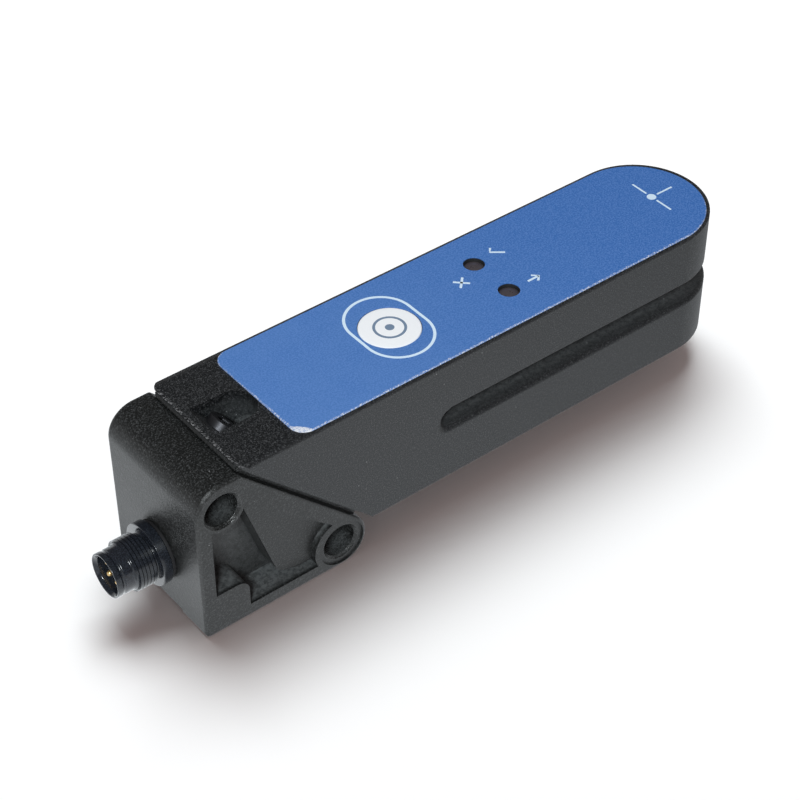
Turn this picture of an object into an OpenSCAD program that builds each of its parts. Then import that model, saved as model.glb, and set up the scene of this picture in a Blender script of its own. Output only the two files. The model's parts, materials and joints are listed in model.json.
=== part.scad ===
// Fork-type label sensor: a slotted housing, a rear connector head on a slanted joint,
// a film keypad with one teach key and two signal lamps, and the parts inside.
// The model is drawn from the back face of the head (x), the middle plane (y) and the
// foot of the head (z), and every sub-part is then moved so that the origin is under
// the middle of the whole sensor.

/* [Housing] */
// Width of the sensor, side to side
body_w = 22; // [21:0.5:24]
// Height of the housing's top face above the foot of the head
top_z = 28.1; // [27.6:0.1:29]
// Height of the lower arm's underside above the foot of the head
under_z = 5.9; // [5.4:0.1:6.2]
// From the back face of the head to the tip of the upper arm
reach = 101.2; // [95:0.1:110]
// How far the lower arm stands out past the upper arm
lower_arm_extra = 0.4; // [0:0.1:1]
// Rounding of the housing's outer edges
edge_r = 0.3; // [0.2:0.1:0.8]
// Wall thickness of the housing
wall = 1.7; // [1.5:0.1:1.8]

/* [Slot] */
// Height of the slot that the label web runs through
slot_h = 3.6; // [3:0.1:3.8]
// Depth of the slot, from the tip of the upper arm to its closed end
slot_depth = 59.4; // [50:0.2:60]
// Height of the slot's lower face above the foot of the head
slot_floor_z = 15.4; // [15:0.1:15.6]
// Rounding of the slot's lips
lip_r = 0.35; // [0.2:0.05:0.5]
// From the tip of the upper arm back to the sensing beam
beam_inset = 8.3; // [8:0.1:9]
// Diameter of the two optical windows
window_d = 4; // [3.4:0.1:4.4]

/* [Head] */
// Height of the head's top face
head_z = 27; // [26.2:0.1:27]
// From the outer faces of the head to the axis of each mounting hole
hole_inset = 4.2; // [4:0.1:4.4]
// Horizontal distance between the two mounting holes
hole_dx = 19.5; // [19:0.1:19.8]
// Height of the upper mounting hole above the lower one
hole_dz = 18; // [17.6:0.1:18.2]
// Diameter of the two mounting holes
mount_d = 5.3; // [5:0.1:5.5]
// Depth of the deep pockets in the head's two sides
pocket_depth = 5; // [4:0.1:5.2]
// Depth of the shallow panels beside the deep pockets
panel_depth = 1.1; // [0.8:0.1:1.5]
// Sum of x and z on the slanted face where housing and head meet
seam_sum = 35.4; // [35.2:0.1:35.6]
// Height of the relief under the middle of the foot
foot_relief = 0.9; // [0.6:0.1:1.2]

/* [Connector] */
// Height of the connector's axis above the foot
plug_z = 9.3; // [9:0.1:9.6]
// How far the connector stands out of the back face
plug_reach = 8.8; // [8.4:0.1:9.2]
// Outer diameter of the coupling thread
thread_d = 8; // [7.9:0.05:8.1]
// Outer diameter of the smooth nose in front of the thread
nose_d = 6.9; // [6.7:0.1:7.1]
// Outer diameter of the collar
collar_d = 9.7; // [9.4:0.1:10]
// Number of contact pins
pin_count = 4; // [3, 4]

/* [Keypad] */
// Thickness of the printed film on the top face
film_t = 0.2; // [0.15:0.05:0.3]
// From the back face of the head to the film's straight edge
film_x = 17.3; // [17:0.1:17.8]
// Bare rim left round the film
film_margin = 0.35; // [0.3:0.05:0.9]
// How far the film is stuck off the middle plane
film_shift = -0.2; // [-0.3:0.05:0.3]
// Corner radius at the film's straight edge
film_corner_r = 2.4; // [1:0.1:3]
// From the back face of the head to the middle of the teach key
key_x = 41.2; // [40:0.1:43]
// Diameter of the teach key
key_d = 9.3; // [9:0.1:10.4]
// Travel of the teach key
key_travel = 0.4; // [0.2:0.05:0.5]
// From the back face of the head to the two signal lamps
lamp_x = 60.3; // [59:0.1:62]
// Distance between the two signal lamps
lamp_pitch = 8; // [7.6:0.1:8.4]
// Diameter of the lamp holes in the film
lamp_d = 3.3; // [3:0.1:3.5]

/* [Hidden] */
$fn = 64;

eps = 0.01;
far = 60;
half_w = body_w / 2;
film_top = top_z + film_t;
tip_x = reach - half_w;
slot_x = reach - slot_depth;
slot_top_z = slot_floor_z + slot_h;
beam_x = reach - beam_inset;
overall_len = reach + lower_arm_extra + plug_reach;
centre_x = overall_len / 2 - plug_reach;

// Heights of what is stacked in the upper arm
cover_t = 1.2;
cover_z = top_z - cover_t;
floor_z = slot_top_z + 1.5;
board_t = 1;
board_z = 22.6;
board_top = board_z + board_t;
switch_h = 1.7;
key_gap = 0.05;
flange_t = 0.85;
flange_z = cover_z - key_gap - flange_t;
plunger_top = flange_z - 0.3;

// Heights of what is stacked in the lower arm
low_cover_top = under_z + cover_t;
low_ceiling = slot_floor_z - 1.5;
low_board_z = 11.4;
low_board_t = 1;

// Plan sizes of the covers and of the space under them
seat_inset = 1.9;
seat_x = 19.4;
cavity_inset = 3;
cavity_x = 24;
cavity_end = 95.4;
low_seat_x = 33;
low_cavity_x = 36.5;
root_x = 19;
root_floor_z = 11.6;
root_end = slot_x - wall;
root_w = 14;

// Cover screws: places as [x, y], first on the top cover, then on the bottom cover
screw_top = [[21.8, -5.6], [21.8, 5.6], [97, 0]];
screw_low = [[34.8, -5.6], [34.8, 5.6], [97.2, 0]];
screw_r = 0.8;
screw_head_r = 1.6;
screw_head_h = 0.8;
screw_len = 4;
thread_gap = 0.03;

// Posts that the two boards sit on, as [x, y]
post_r = 1.1;
posts_top = [[46, -6.4], [46, 6.4], [84, -6.4], [84, 6.4]];
posts_low = [[76, -6.4], [76, 6.4], [88, -6.4], [88, 6.4]];

// Screw that draws the head against the housing, in the joint's own frame
joint_screw_u = -9.8;
joint_wall = 1;
joint_screw_r = 1.25;
joint_head_r = 2.25;
joint_head_h = 1.3;
joint_bite = 3;

// Recess over that screw, open to the top: rear and front end, half width, lowest line
recess_x = [8, 17.4];
recess_r = 3.2;
recess_u = -4.8;

// Blunt upper end of the joint and rounding of the housing's corners there
joint_end_x = 7.35;
joint_corner_r = 1.9;
joint_foot_r = 1.5;

passage_r = 3.4;
ring_r = 4.4;
ring_w = 1.5;
ring_t = 1;
tongue_u = 10.4;
tongue_w = 1.5;
tongue_h = 1.2;
tongue_len = 12;
fit_gap = 0.1;

// Raised pad on the head that meets the housing: lower end, depth, inset, height of its crest
pad_foot_u = 14.2;
pad_depth = 6;
pad_inset = 1.5;
pad_crest_z = 27.8;

// Mounting holes as [x, z], their chamfer and the step round the lower one
hole_top = [hole_inset, hole_inset + hole_dz];
hole_low = [hole_inset + hole_dx, hole_inset];
hole_chamfer = 0.4;
hole_step = 0.3;
boss_top_r = 3.55;
boss_low_r = 4.75;
hole_ring_r = 3.85;
head_corner_r = 4.5;

// Connector lengths along its axis, counted from the back face outwards
seal_t = 0.7;
collar_front = 2.2;
thread_back = 2.6;
thread_front = 5.9;
shank_r = 3.9;
shank_len = 6.5;
bore_depth = 11.8;
plug_bore_r = 2.8;
plug_face = 3.6;
pin_r = 0.45;
pin_circle_r = 1.55;
pin_tip = 7.9;
insert_back = 9;

// Ribbon and leads; a lead sets off and arrives level, over lead_pull at each end
ribbon_x = 38;
ribbon_t = 0.25;
ribbon_w = 8;
lead_r = 0.4;
lead_pitch = 1.4;
lead_pull = [2, 7];
lead_rings = 14;
lead_sides = 10;
socket_x = 26.4;
socket_l = 4;
socket_w = 6.8;
socket_h = 2.4;

module place() {
    translate([-centre_x, 0, 0]) children();
}

// Frame of the slanted joint: x runs down along the joint, z points into the housing
module joint_frame() {
    translate([seam_sum / 2, 0, seam_sum / 2]) rotate([0, 45, 0]) children();
}

// Point of that frame as [x, z], u down along the joint and w into the housing
function joint_point(u, w) = [(seam_sum + (w + u) * sqrt(2)) / 2, (seam_sum + (w - u) * sqrt(2)) / 2];

// Profile with two rounded corners on its upper side, from the middle plane outwards
module half_section(w, z0, z1, r0, r1) {
    polygon(concat(
        [[0, z0]],
        [for (i = [0:6]) [w - r0 + r0 * sin(i * 15), z0 + r0 - r0 * cos(i * 15)]],
        [for (i = [0:6]) [w - r1 + r1 * cos(i * 15), z1 - r1 + r1 * sin(i * 15)]],
        [[0, z1]]
    ));
}

// Bar with rounded edges that ends in a half round, as each arm does
module arm(x0, tip, z0, z1, r0, r1) {
    round_x = tip - half_w;
    translate([x0, 0, 0]) rotate([90, 0, 90]) linear_extrude(round_x - x0) {
        half_section(half_w, z0, z1, r0, r1);
        mirror([1, 0]) half_section(half_w, z0, z1, r0, r1);
    }
    translate([round_x, 0, 0]) rotate_extrude($fn = 128)
        half_section(half_w, z0, z1, r0, r1);
}

// Flat plate with a half-round end, inset from the housing's own outline
module plate_2d(x0, inset, corner_r = 1) {
    r = half_w - inset;
    translate([tip_x, 0]) circle(r);
    translate([x0, corner_r - r]) square([tip_x - x0, 2 * (r - corner_r)]);
    translate([x0 + corner_r, -r]) square([tip_x - x0 - corner_r, 2 * r]);
    for (s = [-1, 1]) translate([x0 + corner_r, s * (r - corner_r)]) circle(corner_r);
}

// Plan of the space under a cover
module cavity_2d(x0) {
    intersection() {
        plate_2d(x0, cavity_inset);
        translate([0, -far / 2]) square([cavity_end, far]);
    }
}

// Plan of a board that lies in that space
module board_2d(x0) {
    intersection() {
        plate_2d(x0, cavity_inset + 0.4);
        translate([0, -far / 2]) square([cavity_end - 0.4, far]);
    }
}

// Flat-headed screw, its head's top at the origin and its shank pointing down
module countersunk(shank_r) {
    translate([0, 0, -screw_len]) cylinder(h = screw_len - screw_head_h, r = shank_r);
    translate([0, 0, -screw_head_h]) cylinder(h = screw_head_h, r1 = screw_r, r2 = screw_head_r);
}

// What the rounded corners at the upper end of the joint leave out
module joint_corners() {
    r = joint_corner_r;
    translate([0, 0, top_z - 2 * r]) linear_extrude(3 * r) {
        translate([joint_end_x - r, -far / 2]) square([r, far]);
        for (s = [-1, 1]) difference() {
            translate([joint_end_x - r, s * half_w - r]) square(2 * r);
            translate([joint_end_x + r, s * (half_w - r)]) circle(r);
        }
    }
}

// What the rounded lower end of the joint leaves out
module joint_foot() {
    r = joint_foot_r;
    start = r * tan(22.5);
    inward = [cos(67.5), sin(67.5)];
    rotate([90, 0, 0]) linear_extrude(far, center = true)
        translate([seam_sum - under_z, under_z]) difference() {
            rotate(67.5) translate([-r, -r]) square([r + start * cos(67.5), 2 * r]);
            translate([start, r] - 0.02 * r * inward) circle(r);
        }
}

// Recess in the top face, with its floor square to the joint screw
module screw_recess() {
    intersection() {
        translate([0, 0, root_floor_z]) linear_extrude(far) {
            translate([recess_x[1] - recess_r, 0]) circle(recess_r);
            translate([recess_x[0], -recess_r]) square([recess_x[1] - recess_r - recess_x[0], 2 * recess_r]);
        }
        joint_frame() translate([recess_u - far, -far / 2, joint_wall]) cube([far, far, far]);
    }
}

module fork_housing() {
    color("#34383a") place() difference() {
        union() {
            arm(0, reach, slot_top_z, top_z, lip_r, edge_r);
            arm(0, reach + lower_arm_extra, under_z, slot_floor_z, edge_r, lip_r);
            translate([0, -half_w, slot_floor_z - 1]) cube([slot_x + slot_h / 2, body_w, slot_h + 2]);
        }
        // Rounded end of the slot
        translate([slot_x + slot_h / 2, 0, slot_floor_z + slot_h / 2]) rotate([90, 0, 0])
            cylinder(h = far, d = slot_h, center = true);
        // Slanted joint face with its blunt upper end and rounded lower end
        joint_frame() translate([-far, -far / 2, -far]) cube([2 * far, far, far]);
        joint_corners();
        joint_foot();
        // Seat of the top cover and the space under it
        translate([0, 0, cover_z]) linear_extrude(far) plate_2d(seat_x, seat_inset);
        difference() {
            translate([0, 0, floor_z]) linear_extrude(far) cavity_2d(cavity_x);
            for (p = posts_top) translate([p[0], p[1], 0]) cylinder(h = board_z, r = post_r);
        }
        // Seat of the bottom cover and the space above it
        translate([0, 0, low_cover_top - far]) linear_extrude(far) plate_2d(low_seat_x, seat_inset);
        difference() {
            translate([0, 0, under_z]) linear_extrude(low_ceiling - under_z) cavity_2d(low_cavity_x);
            for (p = posts_low) translate([p[0], p[1], low_board_z + low_board_t]) cylinder(h = far, r = post_r);
        }
        // Space in the root that joins the two arms
        intersection() {
            translate([root_x, -root_w / 2, root_floor_z])
                cube([root_end - root_x, root_w, board_z - 0.4 - root_floor_z]);
            joint_frame() translate([-far / 2, -far / 2, wall]) cube([far, far, far]);
        }
        // Windows over and under the slot
        translate([beam_x, 0, low_ceiling - 1]) cylinder(h = floor_z - low_ceiling + 2, d = window_d);
        // Wire passage, ring face and tongue slot in the joint face
        joint_frame() translate([0, 0, -eps]) cylinder(h = 6, r = passage_r);
        joint_frame() translate([tongue_u - fit_gap, -tongue_len / 2 - fit_gap, -eps])
            cube([tongue_w + 2 * fit_gap, tongue_len + 2 * fit_gap, tongue_h + fit_gap]);
        // Screw of the joint: clearance hole and access pocket
        joint_frame() translate([joint_screw_u, 0, -eps]) cylinder(h = far, r = joint_screw_r + 0.15);
        screw_recess();
        // Cover screws
        for (p = screw_top) translate([p[0], p[1], cover_z - screw_len]) cylinder(h = screw_len + eps, r = screw_r);
        for (p = screw_low) translate([p[0], p[1], low_cover_top - eps]) cylinder(h = screw_len, r = screw_r);
    }
}

// Disc with rounded rims, standing across the head at [x, z]
module puck(at, r, rim) {
    translate([at[0], 0, at[1]]) rotate([90, 0, 0]) rotate_extrude() {
        half_section(r, -half_w, half_w, rim, rim);
    }
}

// Face view of the head's window: what lies inside its strips and bosses
module pocket_window() {
    difference() {
        polygon([[2.15, 2.1], [2.15, 21], [6.9, 22.3], [22.9, 8.05], [22.9, 2.1]]);
        translate(hole_top) circle(boss_top_r);
        translate(hole_low) circle(boss_low_r);
        offset(1.9) offset(delta = -1.9) translate([-2, -2]) square([9.6, 9.1]);
    }
}

// Face view of the shallow panel
module panel_area() {
    offset(r = 2.4) offset(delta = -2.4)
        polygon([[4.5, 31], [13.2, 4.1], [16.4, 3.2], [26, 3.1], [26, 31]]);
}

// Hole right across the head at [x, z], chamfered where it meets the faces at y = -face and face
module mounting_hole(at, face) {
    r = mount_d / 2;
    translate([at[0], 0, at[1]]) {
        rotate([90, 0, 0]) cylinder(h = far, r = r, center = true);
        for (s = [-1, 1]) rotate([-90 * s, 0, 0]) translate([0, 0, face - hole_chamfer - 0.2])
            cylinder(h = hole_chamfer + 1.2, r1 = r - 0.2, r2 = r + hole_chamfer + 1);
    }
}

module rear_head() {
    color("#3a3f41") place() difference() {
        union() {
            hull() {
                puck([head_corner_r, head_z - head_corner_r], head_corner_r, 0.35);
                puck([23.75, 4.3], 4.3, 0.4);
                puck([0.8, 0.8], 0.8, 0.35);
                puck([6.95, head_z - 0.6], 0.6, 0.3);
            }
            rotate([90, 0, 0]) linear_extrude(body_w - 2 * pad_inset, center = true) polygon([
                [joint_end_x, head_z - 2],
                [joint_end_x, pad_crest_z],
                [seam_sum - pad_crest_z, pad_crest_z],
                joint_point(pad_foot_u, 0),
                joint_point(pad_foot_u, -pad_depth),
                joint_point(-pad_foot_u, -pad_depth)
            ]);
            joint_frame() translate([tongue_u, -tongue_len / 2, -1])
                cube([tongue_w, tongue_len, tongue_h + 1]);
        }
        // Mounting holes
        mounting_hole(hole_top, half_w);
        mounting_hole(hole_low, half_w - hole_step);
        // Pockets and panels in both sides
        for (s = [-1, 1]) {
            translate([0, s * half_w, 0]) rotate([90, 0, 0]) {
                linear_extrude(2 * pocket_depth, center = true) difference() {
                    pocket_window();
                    panel_area();
                }
                linear_extrude(2 * panel_depth, center = true) pocket_window();
            }
            // Step round the lower hole
            translate([hole_low[0], s * half_w, hole_low[1]]) rotate([90, 0, 0])
                cylinder(h = 2 * hole_step, r = hole_ring_r, center = true);
        }
        // Relief under the foot
        translate([-far, -4.9, -far]) cube([far + 20, 9.8, far + foot_relief]);
        // Connector bore and wire passage
        translate([-eps, 0, plug_z]) rotate([0, 90, 0]) cylinder(h = bore_depth, r = shank_r);
        translate([plug_z, 0, plug_z]) rotate([0, 45, 0]) cylinder(h = 20, r = passage_r);
        // Ring groove and screw thread in the joint face
        joint_frame() translate([0, 0, -ring_t]) difference() {
            cylinder(h = 2 * ring_t, r = ring_r + ring_w);
            translate([0, 0, -eps]) cylinder(h = 3 * ring_t, r = ring_r);
        }
        joint_frame() translate([joint_screw_u, 0, -joint_bite - 0.2]) cylinder(h = far, r = joint_screw_r);
    }
}

module top_cover() {
    color("#232628") place() difference() {
        translate([0, 0, cover_z]) linear_extrude(cover_t) plate_2d(seat_x + fit_gap, seat_inset + fit_gap);
        translate([key_x, 0, cover_z - 1]) cylinder(h = 3, d = key_d + 0.2);
        for (s = [-1, 1]) translate([lamp_x, s * lamp_pitch / 2, cover_z - 1]) cylinder(h = 3, d = lamp_d - 0.1);
        for (p = screw_top) translate([p[0], p[1], top_z]) countersunk(screw_r);
    }
}

module bottom_cover() {
    color("#2a2d2f") place() difference() {
        translate([0, 0, under_z]) linear_extrude(cover_t) plate_2d(low_seat_x + fit_gap, seat_inset + fit_gap);
        for (p = screw_low) translate([p[0], p[1], under_z]) rotate([180, 0, 0]) countersunk(screw_r);
    }
}

module front_film() {
    color("#4573b9") place() difference() {
        translate([0, film_shift, top_z]) linear_extrude(film_t) plate_2d(film_x, film_margin, film_corner_r);
        translate([key_x, 0, top_z - 1]) cylinder(h = 3, d = key_d + 0.1);
        for (s = [-1, 1]) translate([lamp_x, s * lamp_pitch / 2, top_z - 1]) cylinder(h = 3, d = lamp_d);
    }
}

module teach_key() {
    color("#f2f2f5") place() translate([key_x, 0, 0]) {
        translate([0, 0, flange_z]) cylinder(h = flange_t, d = key_d + 1.6);
        translate([0, 0, flange_z]) cylinder(h = film_top - flange_z, d = key_d);
        translate([0, 0, plunger_top]) cylinder(h = flange_z - plunger_top + eps, d = 3.2);
    }
}

module key_switch() {
    color("#1c1d20") place() translate([key_x, 0, board_top]) difference() {
        translate([-3.1, -3.1, 0]) cube([6.2, 6.2, switch_h]);
        translate([0, 0, 0.4]) cylinder(h = 3, d = 3.6);
    }
}

module switch_plunger() {
    color("#d8d3c4") place() translate([key_x, 0, board_top + 0.9])
        cylinder(h = plunger_top - board_top - 0.9, d = 3.4);
}

module lamp_window(side) {
    color("#4a3a38") place() translate([lamp_x, side * lamp_pitch / 2, 0]) {
        translate([0, 0, board_top + 1.3]) cylinder(h = top_z - 0.3 - board_top - 1.3, d = lamp_d - 0.1);
        translate([0, 0, board_top + 1.3]) cylinder(h = cover_z - board_top - 1.3, d = lamp_d + 0.9);
    }
}

module lamp(side) {
    color("#f0ead0") place() translate([lamp_x - 1, side * lamp_pitch / 2 - 0.8, board_top]) cube([2, 1.6, 0.9]);
}

module lamp_window_far() lamp_window(1);
module lamp_window_near() lamp_window(-1);
module lamp_far() lamp(1);
module lamp_near() lamp(-1);

module main_board() {
    color("#1f6b3c") place() translate([0, 0, board_z]) linear_extrude(board_t) board_2d(25);
}

module controller_chip() {
    color("#202124") place() translate([72, -3.5, board_top]) cube([7, 7, 1.1]);
}

module output_driver() {
    color("#202124") place() translate([50, -2.5, board_top]) cube([4, 5, 1.5]);
}

module filter_capacitor() {
    color("#8d9196") place() translate([30.6, 0, board_top]) cylinder(h = 2.6, d = 4);
}

module receiver_diode() {
    color("#3b2f4a") place() translate([beam_x - 1.2, -1.6, board_z - 1.3]) cube([2.4, 3.2, 1.3]);
}

module receiver_window() {
    color("#5a1f24") place() translate([beam_x, 0, slot_top_z + 0.1]) cylinder(h = floor_z - slot_top_z - 0.1, d = window_d);
}

module emitter_window() {
    color("#5a1f24") place() translate([beam_x, 0, low_ceiling]) cylinder(h = slot_floor_z - low_ceiling - 0.1, d = window_d);
}

module emitter_diode() {
    base_h = 0.7;
    lens_r = 1.1;
    color("#c9b8ae") place() translate([beam_x, 0, low_board_z + low_board_t]) rotate_extrude() {
        square([1.5, base_h]);
        intersection() {
            translate([0, 0.2]) circle(lens_r);
            square(2 * lens_r);
        }
    }
}

module emitter_board() {
    color("#1f6b3c") place() translate([0, 0, low_board_z]) linear_extrude(low_board_t) board_2d(72);
}

// Flat ribbon from the main board down through the root and along the lower arm
module arm_ribbon() {
    bend = 1.25;
    low = low_board_z - ribbon_t;
    color("#c8a04a") place() rotate([90, 0, 0]) linear_extrude(ribbon_w, center = true) {
        translate([ribbon_x, low + bend]) square([ribbon_t, board_z - low - bend]);
        translate([ribbon_x + bend, low]) square([74 - ribbon_x - bend, ribbon_t]);
        intersection() {
            translate([ribbon_x + bend, low + bend]) difference() {
                circle(bend);
                circle(bend - ribbon_t);
            }
            translate([ribbon_x, low]) square(bend);
        }
    }
}

module cover_screws() {
    color("#9aa0a5") place() {
        for (p = screw_top) translate([p[0], p[1], top_z]) cover_screw();
        for (p = screw_low) translate([p[0], p[1], under_z]) rotate([180, 0, 0]) cover_screw();
    }
}

module cover_screw() {
    difference() {
        countersunk(screw_r - thread_gap);
        translate([0, 0, -0.5]) cylinder(h = 1, r = 0.65, $fn = 6);
    }
}

module head_screw() {
    color("#5c6063") place() joint_frame() translate([joint_screw_u, 0, 0]) difference() {
        union() {
            translate([0, 0, -joint_bite]) cylinder(h = joint_bite + joint_wall + eps, r = joint_screw_r - thread_gap);
            translate([0, 0, joint_wall]) cylinder(h = joint_head_h, r = joint_head_r);
        }
        translate([0, 0, joint_wall + 0.4]) cylinder(h = far, r = 1.15, $fn = 6);
    }
}

module seam_ring() {
    color("#151617") place() joint_frame() translate([0, 0, -ring_t]) difference() {
        cylinder(h = ring_t, r = ring_r + ring_w);
        translate([0, 0, -1]) cylinder(h = ring_t + 2, r = ring_r);
    }
}

// Turns a profile of [radius, distance out of the back face] about the connector's axis
module plug_turned() {
    place() translate([0, 0, plug_z]) rotate([0, -90, 0]) rotate_extrude() children();
}

module plug_shell() {
    nose_r = nose_d / 2;
    thread_r = thread_d / 2;
    collar_r = collar_d / 2;
    color("#26292b") plug_turned() polygon([
        [plug_bore_r, -shank_len],
        [shank_r - thread_gap, -shank_len],
        [shank_r - thread_gap, seal_t],
        [collar_r - 0.15, seal_t],
        [collar_r, seal_t + 0.15],
        [collar_r, collar_front - 0.3],
        [collar_r - 0.3, collar_front],
        [thread_r - 0.5, collar_front],
        [thread_r - 0.5, thread_back - 0.1],
        [thread_r, thread_back + 0.2],
        [thread_r, thread_front - 0.3],
        [nose_r + 0.1, thread_front],
        [nose_r, thread_front + 0.2],
        [nose_r, plug_reach - 1.4],
        [nose_r - 0.2, plug_reach - 1.3],
        [nose_r - 0.2, plug_reach - 1.0],
        [nose_r, plug_reach - 0.9],
        [nose_r, plug_reach - 0.2],
        [nose_r - 0.2, plug_reach],
        [plug_bore_r + 0.2, plug_reach],
        [plug_bore_r, plug_reach - 0.2]
    ]);
}

// Places of the contact pins across the connector's axis
function pin_places() = [for (i = [0:pin_count - 1])
    [pin_circle_r * cos(45 + i * 360 / pin_count), pin_circle_r * sin(45 + i * 360 / pin_count)]];

module along_plug(from) {
    translate([-from, 0, plug_z]) rotate([0, -90, 0]) children();
}

module plug_insert() {
    color("#17181a") place() difference() {
        along_plug(-insert_back) cylinder(h = plug_face + insert_back, r = plug_bore_r);
        for (p = pin_places()) along_plug(-far / 2) translate([p[0], p[1], 0]) cylinder(h = far, r = pin_r);
    }
}

module contact_pins() {
    color("#d6ab5a") place() for (p = pin_places()) along_plug(-insert_back) translate([p[0], p[1], 0]) {
        cylinder(h = insert_back + pin_tip - 0.3, r = pin_r);
        translate([0, 0, insert_back + pin_tip - 0.3]) cylinder(h = 0.3, r1 = pin_r, r2 = pin_r - 0.2);
    }
}

module plug_seal() {
    color("#101112") plug_turned() translate([shank_r, 0]) square([collar_d / 2 - 0.3 - shank_r, seal_t]);
}

// Point at share t of the curve that leaves p[0] towards p[1] and reaches p[3] from p[2]
function curve_at(p, t) =
    pow(1 - t, 3) * p[0] + 3 * t * pow(1 - t, 2) * p[1] + 3 * t * t * (1 - t) * p[2] + pow(t, 3) * p[3];

// Slope of the same curve in its own upright plane; level at both ends
function curve_tilt(p, t) =
    let (d = curve_at(p, t + 0.01) - curve_at(p, t - 0.01)) t <= 0 || t >= 1 ? 0 : atan2(d[2], d[0]);

// One lead: level out of its pin, up through the slanted joint, level into the socket
module lead(from, to) {
    n = lead_sides;
    route = [from, from + [lead_pull[0], 0, 0], to - [lead_pull[1], 0, 0], to];
    rings = [for (i = [0:lead_rings]) for (k = [0:n - 1])
        let (t = i / lead_rings, tilt = curve_tilt(route, t), a = k * 360 / n)
        curve_at(route, t) + lead_r * [-cos(a) * sin(tilt), sin(a), cos(a) * cos(tilt)]];
    sides = [for (i = [0:lead_rings - 1]) for (k = [0:n - 1])
        [i * n + k, i * n + (k + 1) % n, (i + 1) * n + (k + 1) % n, (i + 1) * n + k]];
    first_end = [for (k = [n - 1:-1:0]) k];
    last_end = [for (k = [0:n - 1]) lead_rings * n + k];
    polyhedron(rings, concat(sides, [first_end, last_end]));
}

module lead_wires() {
    color("#8a5a34") place() for (i = [0:pin_count - 1]) {
        pin = pin_places()[i];
        socket_y = lead_pitch * ((pin_count - 1) / 2 - i);
        lead([insert_back, pin[1], plug_z + pin[0]], [socket_x, socket_y, board_z - socket_h / 2]);
    }
}

module wire_socket() {
    color("#e6e2d6") place() translate([socket_x, -socket_w / 2, board_z - socket_h]) cube([socket_l, socket_w, socket_h]);
}

fork_housing();
rear_head();
top_cover();
bottom_cover();
front_film();
teach_key();
key_switch();
switch_plunger();
lamp_window_far();
lamp_window_near();
lamp_far();
lamp_near();
main_board();
controller_chip();
output_driver();
filter_capacitor();
receiver_diode();
receiver_window();
emitter_window();
emitter_diode();
emitter_board();
arm_ribbon();
cover_screws();
head_screw();
seam_ring();
plug_shell();
plug_insert();
contact_pins();
plug_seal();
lead_wires();
wire_socket();
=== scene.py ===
"""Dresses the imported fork-type label sensor: castings, keypad, lamps, connector, screws and studio."""

import json
import logging
import math
from abc import ABC, abstractmethod
from dataclasses import dataclass
from enum import Enum
from typing import Any, Sequence

import bmesh
import bpy
from mathutils import Matrix, Vector
from mathutils.geometry import tessellate_polygon


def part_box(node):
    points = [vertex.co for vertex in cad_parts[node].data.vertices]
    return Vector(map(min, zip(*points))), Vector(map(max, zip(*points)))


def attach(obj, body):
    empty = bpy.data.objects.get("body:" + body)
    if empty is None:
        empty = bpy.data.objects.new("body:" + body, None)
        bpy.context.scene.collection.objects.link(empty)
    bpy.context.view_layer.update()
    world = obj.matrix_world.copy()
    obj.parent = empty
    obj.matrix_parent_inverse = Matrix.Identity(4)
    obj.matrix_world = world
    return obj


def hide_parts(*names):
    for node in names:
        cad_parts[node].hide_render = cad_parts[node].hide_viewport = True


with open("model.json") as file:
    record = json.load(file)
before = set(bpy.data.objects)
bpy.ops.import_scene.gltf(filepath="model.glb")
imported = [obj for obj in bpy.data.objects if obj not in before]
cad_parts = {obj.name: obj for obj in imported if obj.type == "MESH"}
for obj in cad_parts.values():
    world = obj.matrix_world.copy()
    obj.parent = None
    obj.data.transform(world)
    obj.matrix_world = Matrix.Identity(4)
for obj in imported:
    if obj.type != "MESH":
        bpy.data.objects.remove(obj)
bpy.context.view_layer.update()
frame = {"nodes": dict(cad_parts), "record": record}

MM = 0.001
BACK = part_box("rear_head")[0].x
SENSOR = "sensor"
KEY_BODY = "set_key"
SLOT_ROUND_AT = 43.6 * MM
HOUSING_SEAM = 35.4 * MM
HEAD_SEAM = 34.0 * MM
HEAD_CORNER = 4.5 * MM
HEAD_TOP = 27.0 * MM
HOLE_RADIUS = 2.65 * MM
UPPER_HOLE = (4.2 * MM, 22.2 * MM)
LOWER_HOLE = (23.7 * MM, 4.2 * MM)
KEY_FLANGE = 0.8 * MM
FAR_OFF = 1.0
log = logging.getLogger("label_sensor")

Point = tuple[float, float]
Place = tuple[float, float, float]
Colour = tuple[float, float, float]
Form = bmesh.types.BMesh


def rgba(colour: Colour) -> tuple[float, float, float, float]:
    """Give a colour its full alpha."""
    return (*colour, 1.0)


def scaled(colour: Colour, factor: float) -> Colour:
    """Make a colour lighter or darker, up to white."""
    return tuple(min(1.0, channel * factor) for channel in colour)


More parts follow.
